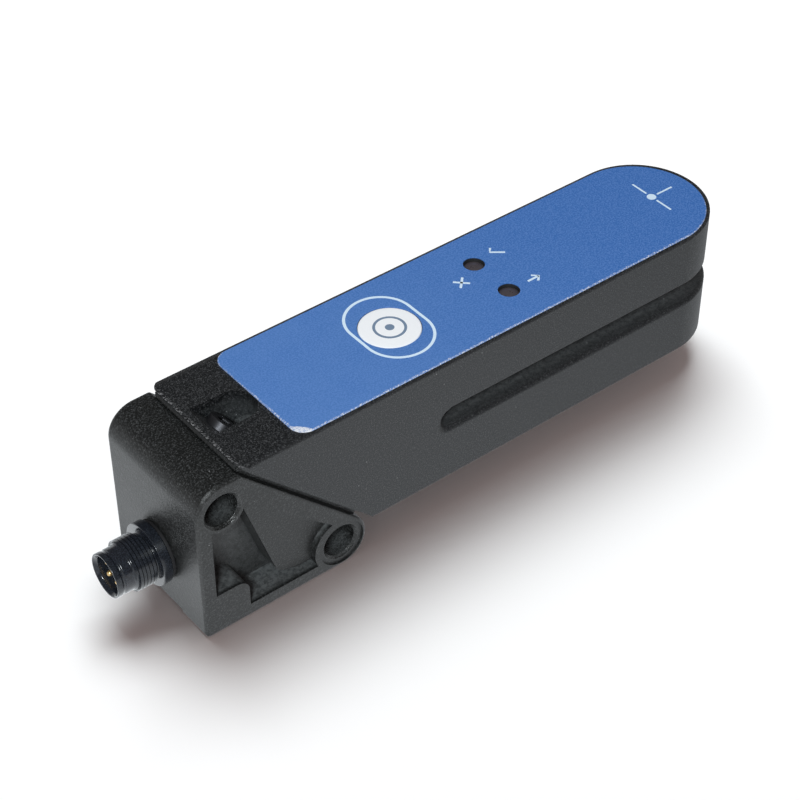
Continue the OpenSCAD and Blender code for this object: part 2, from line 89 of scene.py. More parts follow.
class Wire:
    """A node socket that takes part in Python expressions."""

    def __init__(self, graph: "Graph", socket: bpy.types.NodeSocket) -> None:
        """Hold a socket and the graph that its new nodes go to."""
        self.graph = graph
        self.socket = socket

    def math(self, operation: str, *values: Any) -> "Wire":
        """Add a Math node that works on this socket and these values."""
        return self.graph.add("ShaderNodeMath", {"operation": operation}, dict(enumerate((self, *values))))

    def after(self, operation: str, first: Any) -> "Wire":
        """Add a Math node that takes this socket as its second value."""
        return self.graph.add("ShaderNodeMath", {"operation": operation}, {0: first, 1: self})

    def __add__(self, other: Any) -> "Wire":
        """Add a value."""
        return self.math("ADD", other)

    def __radd__(self, other: Any) -> "Wire":
        """Add this socket to a value."""
        return self.after("ADD", other)

    def __sub__(self, other: Any) -> "Wire":
        """Take a value away."""
        return self.math("SUBTRACT", other)

    def __rsub__(self, other: Any) -> "Wire":
        """Take this socket from a value."""
        return self.after("SUBTRACT", other)

    def __mul__(self, other: Any) -> "Wire":
        """Multiply by a value."""
        return self.math("MULTIPLY", other)

    def __rmul__(self, other: Any) -> "Wire":
        """Multiply a value by this socket."""
        return self.after("MULTIPLY", other)

    def __truediv__(self, other: Any) -> "Wire":
        """Divide by a value."""
        return self.math("DIVIDE", other)

    def __rtruediv__(self, other: Any) -> "Wire":
        """Divide a value by this socket."""
        return self.after("DIVIDE", other)

    def __pow__(self, other: Any) -> "Wire":
        """Raise to a power."""
        return self.math("POWER", other)

    def __gt__(self, other: Any) -> "Wire":
        """Give 1 where this socket is above a value."""
        return self.math("GREATER_THAN", other)

    def __lt__(self, other: Any) -> "Wire":
        """Give 1 where this socket is below a value."""
        return self.math("LESS_THAN", other)

    def __abs__(self) -> "Wire":
        """Drop the sign."""
        return self.math("ABSOLUTE")

    def least(self, other: Any) -> "Wire":
        """Give the lower of two values."""
        return self.math("MINIMUM", other)

    def most(self, other: Any) -> "Wire":
        """Give the higher of two values."""
        return self.math("MAXIMUM", other)

    def ramp(self, low: float, high: float) -> "Wire":
        """Rise smoothly from 0 at low to 1 at high, or fall where low is the higher of the two.

        Args:
            low: Value at which the result is 0.
            high: Value at which the result is 1.

        Returns:
            The eased value between 0 and 1.
        """
        settings = {"interpolation_type": "SMOOTHSTEP", "clamp": True}
        if low < high:
            return self.graph.add("ShaderNodeMapRange", settings, {0: self, 1: low, 2: high, 3: 0.0, 4: 1.0})
        return self.graph.add("ShaderNodeMapRange", settings, {0: self, 1: high, 2: low, 3: 1.0, 4: 0.0})


class Graph:
    """A node tree that is filled from expressions."""

    def __init__(self, tree: bpy.types.NodeTree) -> None:
        """Take over a node tree and empty it."""
        self.tree = tree
        self.tree.nodes.clear()

    def add(
        self,
        kind: str,
        settings: dict[str, Any] | None = None,
        inputs: dict[Any, Any] | None = None,
        output: Any = 0,
    ) -> Wire:
        """Add a node, make its settings, then fill its sockets.

        Args:
            kind: The node's type.
            settings: The node's own properties.
            inputs: Values or wires by socket name or number.
            output: Name or number of the output that is wanted.

        Returns:
            The wanted output as a Wire.
        """
        node = self.tree.nodes.new(kind)
        for key, value in (settings or {}).items():
            setattr(node, key, value)
        for key, value in (inputs or {}).items():
            self.feed(node.inputs[key], value)
        return Wire(self, node.outputs[output])

    def feed(self, socket: bpy.types.NodeSocket, value: Any) -> None:
        """Link a wire to a socket, or set its value.

        Args:
            socket: The socket to fill.
            value: A wire, or a plain value.
        """
        if isinstance(value, Wire):
            self.tree.links.new(value.socket, socket)
        else:
            socket.default_value = value

    def axes(self, at: Wire) -> tuple[Wire, Wire, Wire]:
        """Split a point into its three coordinates.

        Args:
            at: The point.

        Returns:
            Its x, y and z.
        """
        split = self.add("ShaderNodeSeparateXYZ", inputs={0: at})
        x, y, z = split.socket.node.outputs
        return Wire(self, x), Wire(self, y), Wire(self, z)

    def mix(self, factor: Any, first: Any, second: Any) -> Wire:
        """Mix two colours.

        Args:
            factor: Share of the second colour.
            first: Colour or wire at factor 0.
            second: Colour or wire at factor 1.

        Returns:
            The mixed colour.
        """
        colours = [value if isinstance(value, Wire) else rgba(value) for value in (first, second)]
        return self.add("ShaderNodeMix", {"data_type": "RGBA"}, {0: factor, 6: colours[0], 7: colours[1]}, 2)

    def seen_ray(self) -> Wire:
        """Tell the rays that show the background: from the camera, off gloss and through glass.

        Returns:
            1 for those rays, else 0.
        """
        path = self.add("ShaderNodeLightPath", output="Is Camera Ray")
        outputs = path.socket.node.outputs
        glossy = Wire(self, outputs["Is Glossy Ray"])
        through = Wire(self, outputs["Is Transmission Ray"])
        return path.most(glossy).most(through)


class ShaderGraph(Graph):
    """The node tree of a material."""

    def __init__(self, name: str) -> None:
        """Make a material with an empty tree.

        Args:
            name: Name of the material.
        """
        self.material = bpy.data.materials.new(name)
        self.material.use_nodes = True
        super().__init__(self.material.node_tree)

    def place(self) -> Wire:
        """Give the point on the object, in metres."""
        return self.add("ShaderNodeTexCoord", output="Object")

    def squeezed(self, at: Wire, factors: Place) -> Wire:
        """Scale a point along each axis, to stretch a pattern."""
        return self.add("ShaderNodeVectorMath", {"operation": "MULTIPLY"}, {0: at, 1: factors})

    def noise(self, at: Wire, grain: float, detail: float = 2.0, rough: float = 0.5) -> Wire:
        """Give smooth noise from 0 to 1 whose lumps are about one grain wide.

        Args:
            at: The point that the noise is read at.
            grain: Width of a lump in metres.
            detail: Number of finer layers.
            rough: Weight of the finer layers.

        Returns:
            The noise value.
        """
        inputs = {"Vector": at, "Scale": 1.0 / grain, "Detail": detail, "Roughness": rough}
        return self.add("ShaderNodeTexNoise", None, inputs)

    def cells(self, at: Wire, size: float, output: str = "Distance") -> Wire:
        """Give cell noise whose cells are about one size wide."""
        return self.add("ShaderNodeTexVoronoi", None, {"Vector": at, "Scale": 1.0 / size}, output)

    def specks(self, at: Wire, spacing: float, share: Any, radius: float) -> Wire:
        """Give 1 on small round specks that stand in some of the cells.

        Args:
            at: The point that the pattern is read at.
            spacing: Width of a cell in metres.
            share: Share of the cells that hold a speck.
            radius: Radius of a speck as a share of the spacing.

        Returns:
            The mask of the specks.
        """
        near = self.cells(at, spacing).ramp(radius, radius * 0.5)
        pick = self.add("ShaderNodeSeparateColor", None, {0: self.cells(at, spacing, "Color")})
        return near * (pick < share)

    def bump(self, height: Wire, depth: float) -> Wire:
        """Turn a height from 0 to 1 into a bumped normal.

        Args:
            height: The height wire.
            depth: Height in metres that 1 stands for.

        Returns:
            The bumped normal.
        """
        return self.add("ShaderNodeBump", None, {"Strength": 1.0, "Distance": depth, "Height": height})

    def close(self, **inputs: Any) -> bpy.types.Material:
        """Put the surface shader and the output on, and give the material.

        Args:
            **inputs: Values or wires of the surface shader, with _ for a blank in a name.

        Returns:
            The finished material.
        """
        named = {key.replace("_", " "): value for key, value in inputs.items()}
        for key, value in named.items():
            if isinstance(value, tuple) and len(value) == 3:
                named[key] = rgba(value)
        surface = self.add("ShaderNodeBsdfPrincipled", None, named)
        self.add_output(surface)
        return self.material

    def add_output(self, surface: Wire) -> None:
        """Put the output node on a surface."""
        node = self.tree.nodes.new("ShaderNodeOutputMaterial")
        self.feed(node.inputs["Surface"], surface)


@dataclass(frozen=True)
class Finish(ABC):
    """A surface finish that makes one material."""

    name: str

    @abstractmethod
    def build(self) -> bpy.types.Material:
        """Make the material."""

    def material(self) -> bpy.types.Material:
        """Give the material, made once."""
        return bpy.data.materials.get(self.name) or self.build()


@dataclass(frozen=True)
class Hull:
    """Outer form of a casting, from which the depth of a recess is told."""

    start: float
    round_at: float
    half: float
    low: float
    high: float
    slant: float
    way: float
    slot_at: float = FAR_OFF
    slot_level: float = 0.0
    slot_half: float = 1.8 * MM
    corner: float = 0.0

    def under_corner(self, x: Wire, z: Wire) -> Wire:
        """Tell how deep a point lies under the top, the back and the round between them.

        Args:
            x: Place of the point along the object.
            z: Height of the point.

        Returns:
            The depth in metres.
        """
        behind = (self.start + self.corner - x).most(0.0)
        above = (z - self.high + self.corner).most(0.0)
        return self.corner - (behind * behind + above * above) ** 0.5

    def from_side(self, x: Wire, y: Wire) -> Wire:
        """Tell how far inside the sides and the round tip a point lies.

        Args:
            x: Place of the point along the object.
            y: Place of the point across the object.

        Returns:
            The distance in metres.
        """
        past = (x - self.round_at).most(0.0)
        return self.half - (past * past + y * y) ** 0.5

    def edge_cut(self, graph: ShaderGraph, at: Wire, radius: float) -> Wire:
        """Tell how far a round along the upper edges of the sides cuts a point back.

        Args:
            graph: The material's tree.
            at: The point on the object.
            radius: Radius of the round in metres.

        Returns:
            The cut in metres.
        """
        x, y, z = graph.axes(at)
        if self.corner:
            inside = self.under_corner(x, z)
        else:
            behind = (self.slot_at - x).most(0.0)
            drop = self.slot_level - z
            below_slot = (behind * behind + drop * drop) ** 0.5 - self.slot_half
            inside = (self.high - z).least(below_slot + (drop < 0.0) * FAR_OFF)
        under = (radius - inside).most(0.0)
        aside = (radius - self.from_side(x, y)).most(0.0)
        return ((under * under + aside * aside) ** 0.5 - radius).most(0.0)

    def depths(self, graph: ShaderGraph, at: Wire) -> tuple[Wire, Wire]:
        """Tell how deep a point lies.

        Args:
            graph: The material's tree.
            at: The point on the object.

        Returns:
            The depth under the whole outer form, and the depth behind the slanted joint face.
        """
        x, y, z = graph.axes(at)
        level = (z - self.low).least(self.high - z)
        joint = (x + z - self.slant) * (self.way * math.sqrt(0.5))
        deep = self.from_side(x, y).least(level).least(joint).least(x - self.start)
        if self.corner:
            deep = deep.least(self.under_corner(x, z))
        return deep, joint


def hull_of(node: str, seam_sum: float, way: float, tip: bool) -> Hull:
    """Read a casting's outer form from its node.

    Args:
        node: The casting's node.
        seam_sum: Sum of height and distance from the back face on its slanted face.
        way: 1 where the casting lies ahead of that face, -1 where it lies behind.
        tip: Whether the casting ends in a half round.

    Returns:
        The outer form.
    """
    low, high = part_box(node)
    slant = BACK + seam_sum
    if not tip:
        return Hull(low.x, FAR_OFF, high.y, low.z, HEAD_TOP, slant, way, corner=HEAD_CORNER)
    slot = next(mount for mount in frame["record"]["mounts"] if mount["name"] == "label_slot")
    places = {"slot_at": BACK + SLOT_ROUND_AT, "slot_level": slot["pos_m"][2]}
    return Hull(low.x, high.x - high.y, high.y, low.z, high.z, slant, way, **places)


@dataclass(frozen=True)
class CastCoat(Finish):
    """Black coating on a die casting: fine grain, pale specks, pale dust in recesses that also paints fill
    light into them, upper edges lightened by wear and a painted highlight, and a painted highlight along the
    seam.
    """

    hull: Hull
    colour: Colour = (0.0050, 0.0060, 0.0070)
    light: Colour = (0.070, 0.074, 0.079)
    pale: Colour = (0.34, 0.35, 0.36)
    # Colour of pale dust, which also stands in for fill light in recesses.
    dust_and_fill_light: Colour = (0.108, 0.116, 0.119)
    roughness: float = 0.44
    grain: float = 0.22 * MM
    depth: float = 0.05 * MM
    rubbed: float = 0.0
    # Strength of the painted highlight along the top of the seam.
    crest: float = 0.0
    seam_highlight_width: float = 0.50 * MM
    seam_highlight_drop: float = 0.8 * MM
    edge_round: float = 0.6 * MM
    # Strength of the lighter tone on rounded upper edges: partly wear, partly a painted highlight.
    edge_wear_and_glint: float = 0.0
    recess_from: float = 0.9 * MM
    recess_full: float = 2.2 * MM
    # Shares of pale dust, which is partly painted fill light: in recesses, on up-facing faces inside them,
    # and what is left in holes.
    recess_dust_and_fill: float = 0.34
    lying_dust_and_fill: float = 0.30
    hole_dust_and_fill: float = 0.45
    hole_polish: float = 0.16
    holes: tuple[Point, ...] = ()

    def build(self) -> bpy.types.Material:
        """Make the material.

        Returns:
            The coating.
        """
        graph = ShaderGraph(self.name)
        at = graph.place()
        x, _, z = graph.axes(at)
        deep, seam = self.hull.depths(graph, at)
        cut = self.hull.edge_cut(graph, at, self.edge_round)
        bores = [((x - a) * (x - a) + (z - b) * (z - b)) ** 0.5 for a, b in self.holes]
        cloud = graph.noise(at, 9 * MM, 3.0, 0.6)
        fine = graph.noise(at, self.grain, 2.0, 0.6)
        patch = graph.noise(at, 0.7 * MM, 3.0, 0.7)
        hidden = deep.ramp(self.recess_from, self.recess_full)
        tone = graph.mix(fine.ramp(0.44, 0.80) * (0.6 + cloud * 0.8), self.colour, self.light)
        dust_and_fill_light = self.dust_and_fill_share(graph, deep, hidden, bores)
        # Pale dust in recesses: partly real dust, partly painted fill light that lightens the recesses.
        tone = graph.mix((0.35 + 0.65 * patch.ramp(0.35, 0.65)) * dust_and_fill_light, tone, self.dust_and_fill_light)
        # Lighter tone on the rounded upper edges: partly wear, partly a painted highlight.
        wear_and_glint = cut.ramp(0.12 * self.edge_round, 0.36 * self.edge_round) * self.edge_wear_and_glint
        tone = graph.mix(wear_and_glint, tone, self.light)
        small = graph.specks(at, 0.6 * MM, 0.45 + hidden * 0.5, 0.12)
        large = graph.specks(at, 1.4 * MM, 0.16 + hidden * 0.3, 0.07)
        # Pale dotted line along the top of the slanted seam: a painted highlight on the seam's edge.
        dotted = graph.noise(at, 0.30 * MM, 2.0, 0.7).ramp(0.50, 0.60)
        upper = (self.hull.high - z).ramp(self.seam_highlight_drop, 0.3 * MM)
        crest = seam.ramp(self.seam_highlight_width, 0.18 * MM) * dotted * upper * self.crest
        bare = patch.ramp(0.58, 0.70) * self.rubbed
        marks = (small * 0.30 + large * 0.8 + crest + bare).least(1.0)
        tone = graph.mix(marks, tone, self.pale)
        rough = self.roughness + (fine - 0.5) * 0.16 + (cloud - 0.5) * 0.08
        for bore in bores:
            rough = rough - abs(bore - HOLE_RADIUS - 0.2 * MM).ramp(0.35 * MM, 0.2 * MM) * self.hole_polish
        relief = (fine + patch * 0.6) * (self.depth / MM) - cut * (1.5 / MM)
        normal = graph.bump(relief, MM)
        return graph.close(Base_Color=tone, Roughness=rough, Specular_IOR_Level=0.5, Normal=normal)

    def dust_and_fill_share(self, graph: ShaderGraph, deep: Wire, hidden: Wire, bores: Sequence[Wire]) -> Wire:
        """Tell how much pale dust a point holds, which also paints fill light into recesses: some in a
        recess, more where it faces up, less in a hole.

        Args:
            graph: The material's tree.
            deep: Depth of the point under the outer form.
            hidden: How far the point counts as inside a recess.
            bores: Distance of the point from the axis of each hole.

        Returns:
            The share of dust and painted fill light.
        """
        _, _, upward = graph.axes(graph.add("ShaderNodeTexCoord", output="Normal"))
        # Up-facing faces inside recesses get more pale dust, which also paints fill light there.
        lying = upward.ramp(0.2, 0.8) * deep.ramp(0.2 * MM, self.recess_from) * self.lying_dust_and_fill
        share = hidden * self.recess_dust_and_fill + lying
        for bore in bores:
            outside = bore.ramp(HOLE_RADIUS, HOLE_RADIUS + 0.15 * MM)
            share = share * (self.hole_dust_and_fill + (1.0 - self.hole_dust_and_fill) * outside)
        return share


@dataclass(frozen=True)
class PrintedFilm(Finish):
    """Blue polyester film, printed from behind, lighter towards its rear end in painted light, its cut edge
    pale from wear and a painted glint along the near side.
    """

    colour: Colour = (0.027, 0.134, 0.430)
    # Lighter blue that paints light onto the film's rear end.
    painted_light_rear: Colour = (0.066, 0.190, 0.490)
    grain: Colour = (0.110, 0.245, 0.590)
    pale: Colour = (0.76, 0.80, 0.86)
    start: float = 0.0
    corner: float = 2.0 * MM
    round_at: float = 0.0
    middle: float = 0.0
    half_width: float = 10.0 * MM
    # Width of the pale cut edge: partly wear, partly a painted glint.
    rim_wear_and_glint: float = 0.30 * MM

    def build(self) -> bpy.types.Material:
        """Make the material.

        Returns:
            The film's finish.
        """
        graph = ShaderGraph(self.name)
        at = graph.place()
        x, across, _ = graph.axes(at)
        y = across - self.middle
        past = (x - self.round_at).most(0.0)
        tip = self.half_width - (past * past + y * y) ** 0.5
        back = (self.start + self.corner - x).most(0.0)
        out = (abs(y) - (self.half_width - self.corner)).most(0.0)
        inset = tip.least(self.corner - (back * back + out * out) ** 0.5)
        fine = graph.noise(at, 0.24 * MM, 2.0, 0.6)
        cloud = graph.noise(at, 6 * MM, 3.0, 0.6)
        # Painted light: the film grows lighter towards its rear end.
        tone = graph.mix(x.ramp(self.round_at, self.start), self.colour, self.painted_light_rear)
        tone = graph.mix(cloud.ramp(0.3, 0.7) * 0.25, tone, self.colour)
        tone = graph.mix(fine.ramp(0.40, 0.62) * 0.70, tone, self.grain)
        patch = graph.noise(graph.squeezed(at, (0.45, 1.0, 1.0)), 0.30 * MM, 3.0, 0.7)
        # Pale cut edge, strongest along the near side and at the rear corners: partly wear, partly a painted
        # glint.
        near = y.ramp(0.5 * self.half_width, -0.8 * self.half_width)
        rear = (back / MM).least(1.0)
        spot = (back * out / (MM * MM)).ramp(0.15, 1.1) * near
        along = 1.0 - past / self.half_width * 0.6
        reach = self.rim_wear_and_glint * (near * along * 0.75 + rear * 0.45 + spot * 2.4)
        ragged = inset + (patch - 0.5) * (2.8 * self.rim_wear_and_glint)
        wear_and_glint = (reach - ragged).ramp(0.0, 0.10 * MM) * (near + rear).least(1.0)
        dotted = graph.noise(at, 0.30 * MM, 2.0, 0.7).ramp(0.50, 0.60)
        share = (0.12 + 0.60 * dotted + spot * (0.30 + 0.6 * fine.ramp(0.4, 0.6))).least(0.95)
        tone = graph.mix(wear_and_glint * share, tone, self.pale)
        return graph.close(
            Base_Color=tone,
            Roughness=0.40 + (fine - 0.5) * 0.10,
            Specular_IOR_Level=0.42,
            Normal=graph.bump(fine, 0.004 * MM),
        )


@dataclass(frozen=True)
class Ink(Finish):
    """Opaque print on the film."""

    colour: Colour = (0.66, 0.84, 0.99)

    def build(self) -> bpy.types.Material:
        """Make the material.

        Returns:
            The ink.
        """
        graph = ShaderGraph(self.name)
        at = graph.place()
        fine = graph.noise(at, 0.25 * MM, 2.0, 0.6)
        tone = graph.mix(fine.ramp(0.35, 0.75) * 0.25, self.colour, scaled(self.colour, 0.86))
        normal = graph.bump(fine, 0.003 * MM)
        return graph.close(Base_Color=tone, Roughness=0.42 + (fine - 0.5) * 0.1, Normal=normal)


@dataclass(frozen=True)
class Moulded(Finish):
    """Moulded or ground plastic, rubber or ceramic with a fine grain."""

    colour: Colour = (0.02, 0.02, 0.02)
    roughness: float = 0.4
    grain: float = 0.3 * MM
    depth: float = 0.004 * MM
    coat: float = 0.0
    spread: float = 1.25

    def build(self) -> bpy.types.Material:
        """Make the material.

        Returns:
            The moulded finish.
        """
        graph = ShaderGraph(self.name)
        at = graph.place()
        fine = graph.noise(at, self.grain, 2.0, 0.6)
        cloud = graph.noise(at, 4 * MM, 2.0)
        tone = graph.mix(cloud * 0.5 + fine * 0.5, self.colour, scaled(self.colour, self.spread))
        return graph.close(
            Base_Color=tone,
            Roughness=self.roughness + (fine - 0.5) * 0.12,
            Coat_Weight=self.coat,
            Normal=graph.bump(fine, self.depth),
        )


@dataclass(frozen=True)
class SmokedLens(Finish):
    """Dark brown see-through plastic of the lamp windows, read as nearly opaque."""

    colour: Colour = (0.046, 0.039, 0.044)

    def build(self) -> bpy.types.Material:
        """Make the material.

        Returns:
            The lens finish.
        """
        graph = ShaderGraph(self.name)
        at = graph.place()
        cloud = graph.noise(at, 1.2 * MM, 2.0)
        tone = graph.mix(cloud, self.colour, scaled(self.colour, 1.6))
        return graph.close(Base_Color=tone, Roughness=0.24 + cloud * 0.08, Coat_Weight=0.3)


class Lay(Enum):
    """Direction in which turning or brushing marks run."""

    ROUND_X = (1.0, 0.02, 0.02)
    ROUND_Z = (0.02, 0.02, 1.0)
    PLAIN = (1.0, 1.0, 1.0)


@dataclass(frozen=True)
class Plated(Finish):
    """Plated or bare metal with fine tool marks."""

    colour: Colour = (0.6, 0.6, 0.62)
    roughness: float = 0.3
    lay: Lay = Lay.PLAIN

    def build(self) -> bpy.types.Material:
        """Make the material.

        Returns:
            The metal finish.
        """
        graph = ShaderGraph(self.name)
        at = graph.squeezed(graph.place(), self.lay.value)
        marks = graph.noise(at, 0.12 * MM, 3.0, 0.6)
        tone = graph.mix(marks.ramp(0.3, 0.7), scaled(self.colour, 0.82), self.colour)
        return graph.close(
            Base_Color=tone,
            Metallic=1.0,
            Roughness=self.roughness + (marks - 0.5) * 0.2,
            Normal=graph.bump(marks, 0.002 * MM),
        )


@dataclass(frozen=True)
class GlossCoat(Finish):
    """Glossy black coating of the turned connector shell."""

    colour: Colour = (0.009, 0.011, 0.015)
    roughness: float = 0.19

    def build(self) -> bpy.types.Material:
        """Make the material.

        Returns:
            The glossy finish.
        """
        graph = ShaderGraph(self.name)
        at = graph.place()
        marks = graph.noise(graph.squeezed(at, Lay.ROUND_X.value), 0.10 * MM, 2.0)
        fine = graph.noise(at, 0.25 * MM, 2.0)
        tone = graph.mix(fine.ramp(0.4, 0.7), self.colour, scaled(self.colour, 2.2))
        return graph.close(
            Base_Color=tone,
            Roughness=self.roughness + (marks - 0.5) * 0.12,
            Specular_IOR_Level=0.45,
            Coat_Weight=0.2,
            Coat_Roughness=0.10,
            Normal=graph.bump(marks, 0.003 * MM),
        )


@dataclass(frozen=True)
class Laminate(Finish):
    """Circuit board: solder resist over copper tracks and pads."""

    colour: Colour = (0.010, 0.095, 0.035)
    copper: Colour = (0.03, 0.20, 0.06)
    tinned: Colour = (0.55, 0.50, 0.36)
    pitch: float = 1.27 * MM

    def build(self) -> bpy.types.Material:
        """Make the material.

        Returns:
            The board's finish.
        """
        graph = ShaderGraph(self.name)
        at = graph.place()
        x, y, _ = graph.axes(at)
        lane = abs((y / self.pitch).math("FRACT") - 0.5)
        block = graph.noise(graph.squeezed(at, (0.35, 1.0, 0.0)), 2.5 * MM, 0.0)
        track = lane.ramp(0.18, 0.14) * (block > 0.52)
        pad_x = (x / (2 * self.pitch)).math("FRACT") - 0.5
        pad_y = (y / (2 * self.pitch)).math("FRACT") - 0.5
        spot = (pad_x * pad_x + pad_y * pad_y) ** 0.5
        pad = spot.ramp(0.20, 0.16) * (block < 0.42)
        tone = graph.mix(track * 0.6, self.colour, self.copper)
        tone = graph.mix(pad, tone, self.tinned)
        return graph.close(
            Base_Color=tone,
            Metallic=pad * 0.8,
            Roughness=0.42 - pad * 0.12,
            Normal=graph.bump(track + pad, 0.03 * MM),
        )


@dataclass(frozen=True)
class Foil(Finish):
    """Amber film of the flat ribbon with its conductors showing as lines."""

    colour: Colour = (0.50, 0.22, 0.04)
    line: Colour = (0.62, 0.34, 0.10)

    def build(self) -> bpy.types.Material:
        """Make the material.

        Returns:
            The ribbon's finish.
        """
        graph = ShaderGraph(self.name)
        _, y, _ = graph.axes(graph.place())
        lane = abs((y / MM).math("FRACT") - 0.5).ramp(0.30, 0.22)
        tone = graph.mix(lane, self.colour, self.line)
        return graph.close(Base_Color=tone, Roughness=0.3, Normal=graph.bump(lane, 0.02 * MM))


HOUSING_HULL = hull_of("fork_housing", HOUSING_SEAM, 1.0, True)
HEAD_HULL = hull_of("rear_head", HEAD_SEAM, -1.0, False)
HOUSING_COAT = CastCoat("housing_coat", HOUSING_HULL, crest=0.5, edge_round=0.9 * MM)
HOUSING_EDGE = CastCoat(
    "housing_edge",
    HOUSING_HULL,
    colour=(0.016, 0.017, 0.018),
    roughness=0.34,
    rubbed=0.3,
    crest=0.9,
    edge_round=0.9 * MM,
)
HOLES = tuple((BACK + x, z) for x, z in (UPPER_HOLE, LOWER_HOLE))
HEAD_COAT = CastCoat(
    "head_coat",
    HEAD_HULL,
    colour=(0.0050, 0.0056, 0.0054),
    light=(0.056, 0.060, 0.062),
    roughness=0.43,
    grain=0.26 * MM,
    lying_dust_and_fill=0.85,
    edge_wear_and_glint=0.35,
    holes=HOLES,
)
HEAD_EDGE = CastCoat(
    "head_edge",
    HEAD_HULL,
    colour=(0.020, 0.021, 0.021),
    roughness=0.28,
    rubbed=0.3,
    lying_dust_and_fill=0.85,
    edge_wear_and_glint=0.35,
    holes=HOLES,
)
COVER_PLASTIC = Moulded("cover_plastic", colour=(0.020, 0.021, 0.022), roughness=0.5)
FILM_INK = Ink("film_ink")
KEY_PLASTIC = Moulded("key_plastic", colour=(0.88, 0.92, 0.96), roughness=0.34, spread=1.06, depth=0.003 * MM)
KEY_INK = Ink("key_ink", colour=(0.17, 0.25, 0.36))
LENS_PLASTIC = SmokedLens("lens_plastic")
SHELL_GLOSS = GlossCoat("shell_gloss")
CARRIER_PLASTIC = Moulded("carrier_plastic", colour=(0.012, 0.013, 0.014), roughness=0.35)
PIN_GOLD = Plated("pin_gold", colour=(0.86, 0.60, 0.26), roughness=0.22, lay=Lay.ROUND_X)
SEAL_RUBBER = Moulded("seal_rubber", colour=(0.010, 0.010, 0.011), roughness=0.62)
SCREW_STEEL = Plated("screw_steel", colour=(0.42, 0.43, 0.45), roughness=0.32, lay=Lay.ROUND_Z)
SCREW_BLACK = Plated("screw_black", colour=(0.016, 0.016, 0.017), roughness=0.55)
BOARD = Laminate("board_laminate")
CHIP_EPOXY = Moulded("chip_epoxy", colour=(0.013, 0.013, 0.014), roughness=0.55, grain=0.15 * MM)
CAN_METAL = Plated("can_metal", colour=(0.66, 0.67, 0.69), roughness=0.28, lay=Lay.ROUND_Z)
OPTIC_RED = Moulded("optic_red", colour=(0.10, 0.012, 0.016), roughness=0.12, coat=0.6, depth=0.001 * MM)
DIODE_CLEAR = Moulded("diode_clear", colour=(0.62, 0.56, 0.50), roughness=0.10, coat=0.5, depth=0.001 * MM)
LAMP_CHIP = Moulded("lamp_chip", colour=(0.80, 0.74, 0.52), roughness=0.30)
SWITCH_BLACK = Moulded("switch_black", colour=(0.018, 0.018, 0.020), roughness=0.45)
PLUNGER_CREAM = Moulded("plunger_cream", colour=(0.62, 0.57, 0.47), roughness=0.4, spread=1.08)
SOCKET_CREAM = Moulded("socket_cream", colour=(0.70, 0.66, 0.56), roughness=0.42, spread=1.08)
LEAD_COVER = Moulded("lead_cover", colour=(0.20, 0.075, 0.030), roughness=0.36, spread=1.15)
RIBBON = Foil("ribbon_foil")


@dataclass(frozen=True)
class Dress:
    """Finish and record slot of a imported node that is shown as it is."""

    node: str
    finish: Finish
    slot: str


CAD_DRESS = (
    Dress("top_cover", COVER_PLASTIC, "cover_black"),
    Dress("bottom_cover", COVER_PLASTIC, "cover_black"),
    Dress("key_switch", SWITCH_BLACK, "switch_black"),
    Dress("switch_plunger", PLUNGER_CREAM, "plunger_cream"),
    Dress("lamp_far", LAMP_CHIP, "lamp_chip"),
    Dress("lamp_near", LAMP_CHIP, "lamp_chip"),
    Dress("main_board", BOARD, "board_green"),
    Dress("controller_chip", CHIP_EPOXY, "chip_black"),
    Dress("output_driver", CHIP_EPOXY, "chip_black"),
    Dress("filter_capacitor", CAN_METAL, "capacitor_metal"),
    Dress("receiver_diode", CHIP_EPOXY, "optic_red"),
    Dress("receiver_window", OPTIC_RED, "optic_red"),
    Dress("emitter_window", OPTIC_RED, "optic_red"),
    Dress("emitter_diode", DIODE_CLEAR, "diode_clear"),
    Dress("emitter_board", BOARD, "board_green"),
    Dress("arm_ribbon", RIBBON, "ribbon_amber"),
    Dress("seam_ring", SEAL_RUBBER, "seal_black"),
    Dress("lead_wires", LEAD_COVER, "lead_cover"),
    Dress("wire_socket", SOCKET_CREAM, "socket_cream"),
)


def shaded(mesh: bpy.types.Mesh, angle: float = 35.0) -> None:
    """Shade a mesh smooth, with its edges above an angle left sharp."""
    mesh.polygons.foreach_set("use_smooth", [True] * len(mesh.polygons))
    mesh.set_sharp_from_angle(angle=math.radians(angle))


def mesh_of(form: Form, name: str, *materials: bpy.types.Material) -> bpy.types.Mesh:
    """Turn a form into a mesh.

    Args:
        form: The form, which is freed.
        name: Name of the mesh.
        *materials: Materials of the mesh, in the order of its slots.

    Returns:
        The mesh.
    """
    mesh = bpy.data.meshes.new(name)
    form.to_mesh(mesh)
    form.free()
    for material in materials:
        mesh.materials.append(material)
    return mesh


def shown(name: str, data: bpy.types.ID) -> bpy.types.Object:
    """Put an object into the scene.

    Args:
        name: Name of the object.
        data: Its mesh, light or camera.

    Returns:
        The object, at the origin.
    """
    item = bpy.data.objects.new(name, data)
    bpy.context.scene.collection.objects.link(item)
    return item


def new_piece(name: str, form: Form, finish: Finish, angle: float = 35.0) -> bpy.types.Object:
    """Make an object of a form, with its faces turned outwards.

    Args:
        name: Name of the piece.
        form: The form, in metres in the frame's own place; it is freed.
        finish: Finish of the piece.
        angle: Angle in degrees above which an edge stays sharp.

    Returns:
        The new object, at the origin.
    """
    bmesh.ops.remove_doubles(form, verts=form.verts, dist=1e-7)
    bmesh.ops.dissolve_degenerate(form, edges=form.edges, dist=1e-8)
    bmesh.ops.recalc_face_normals(form, faces=form.faces)
    mesh = mesh_of(form, name, finish.material())
    shaded(mesh, angle)
    return shown(name, mesh)


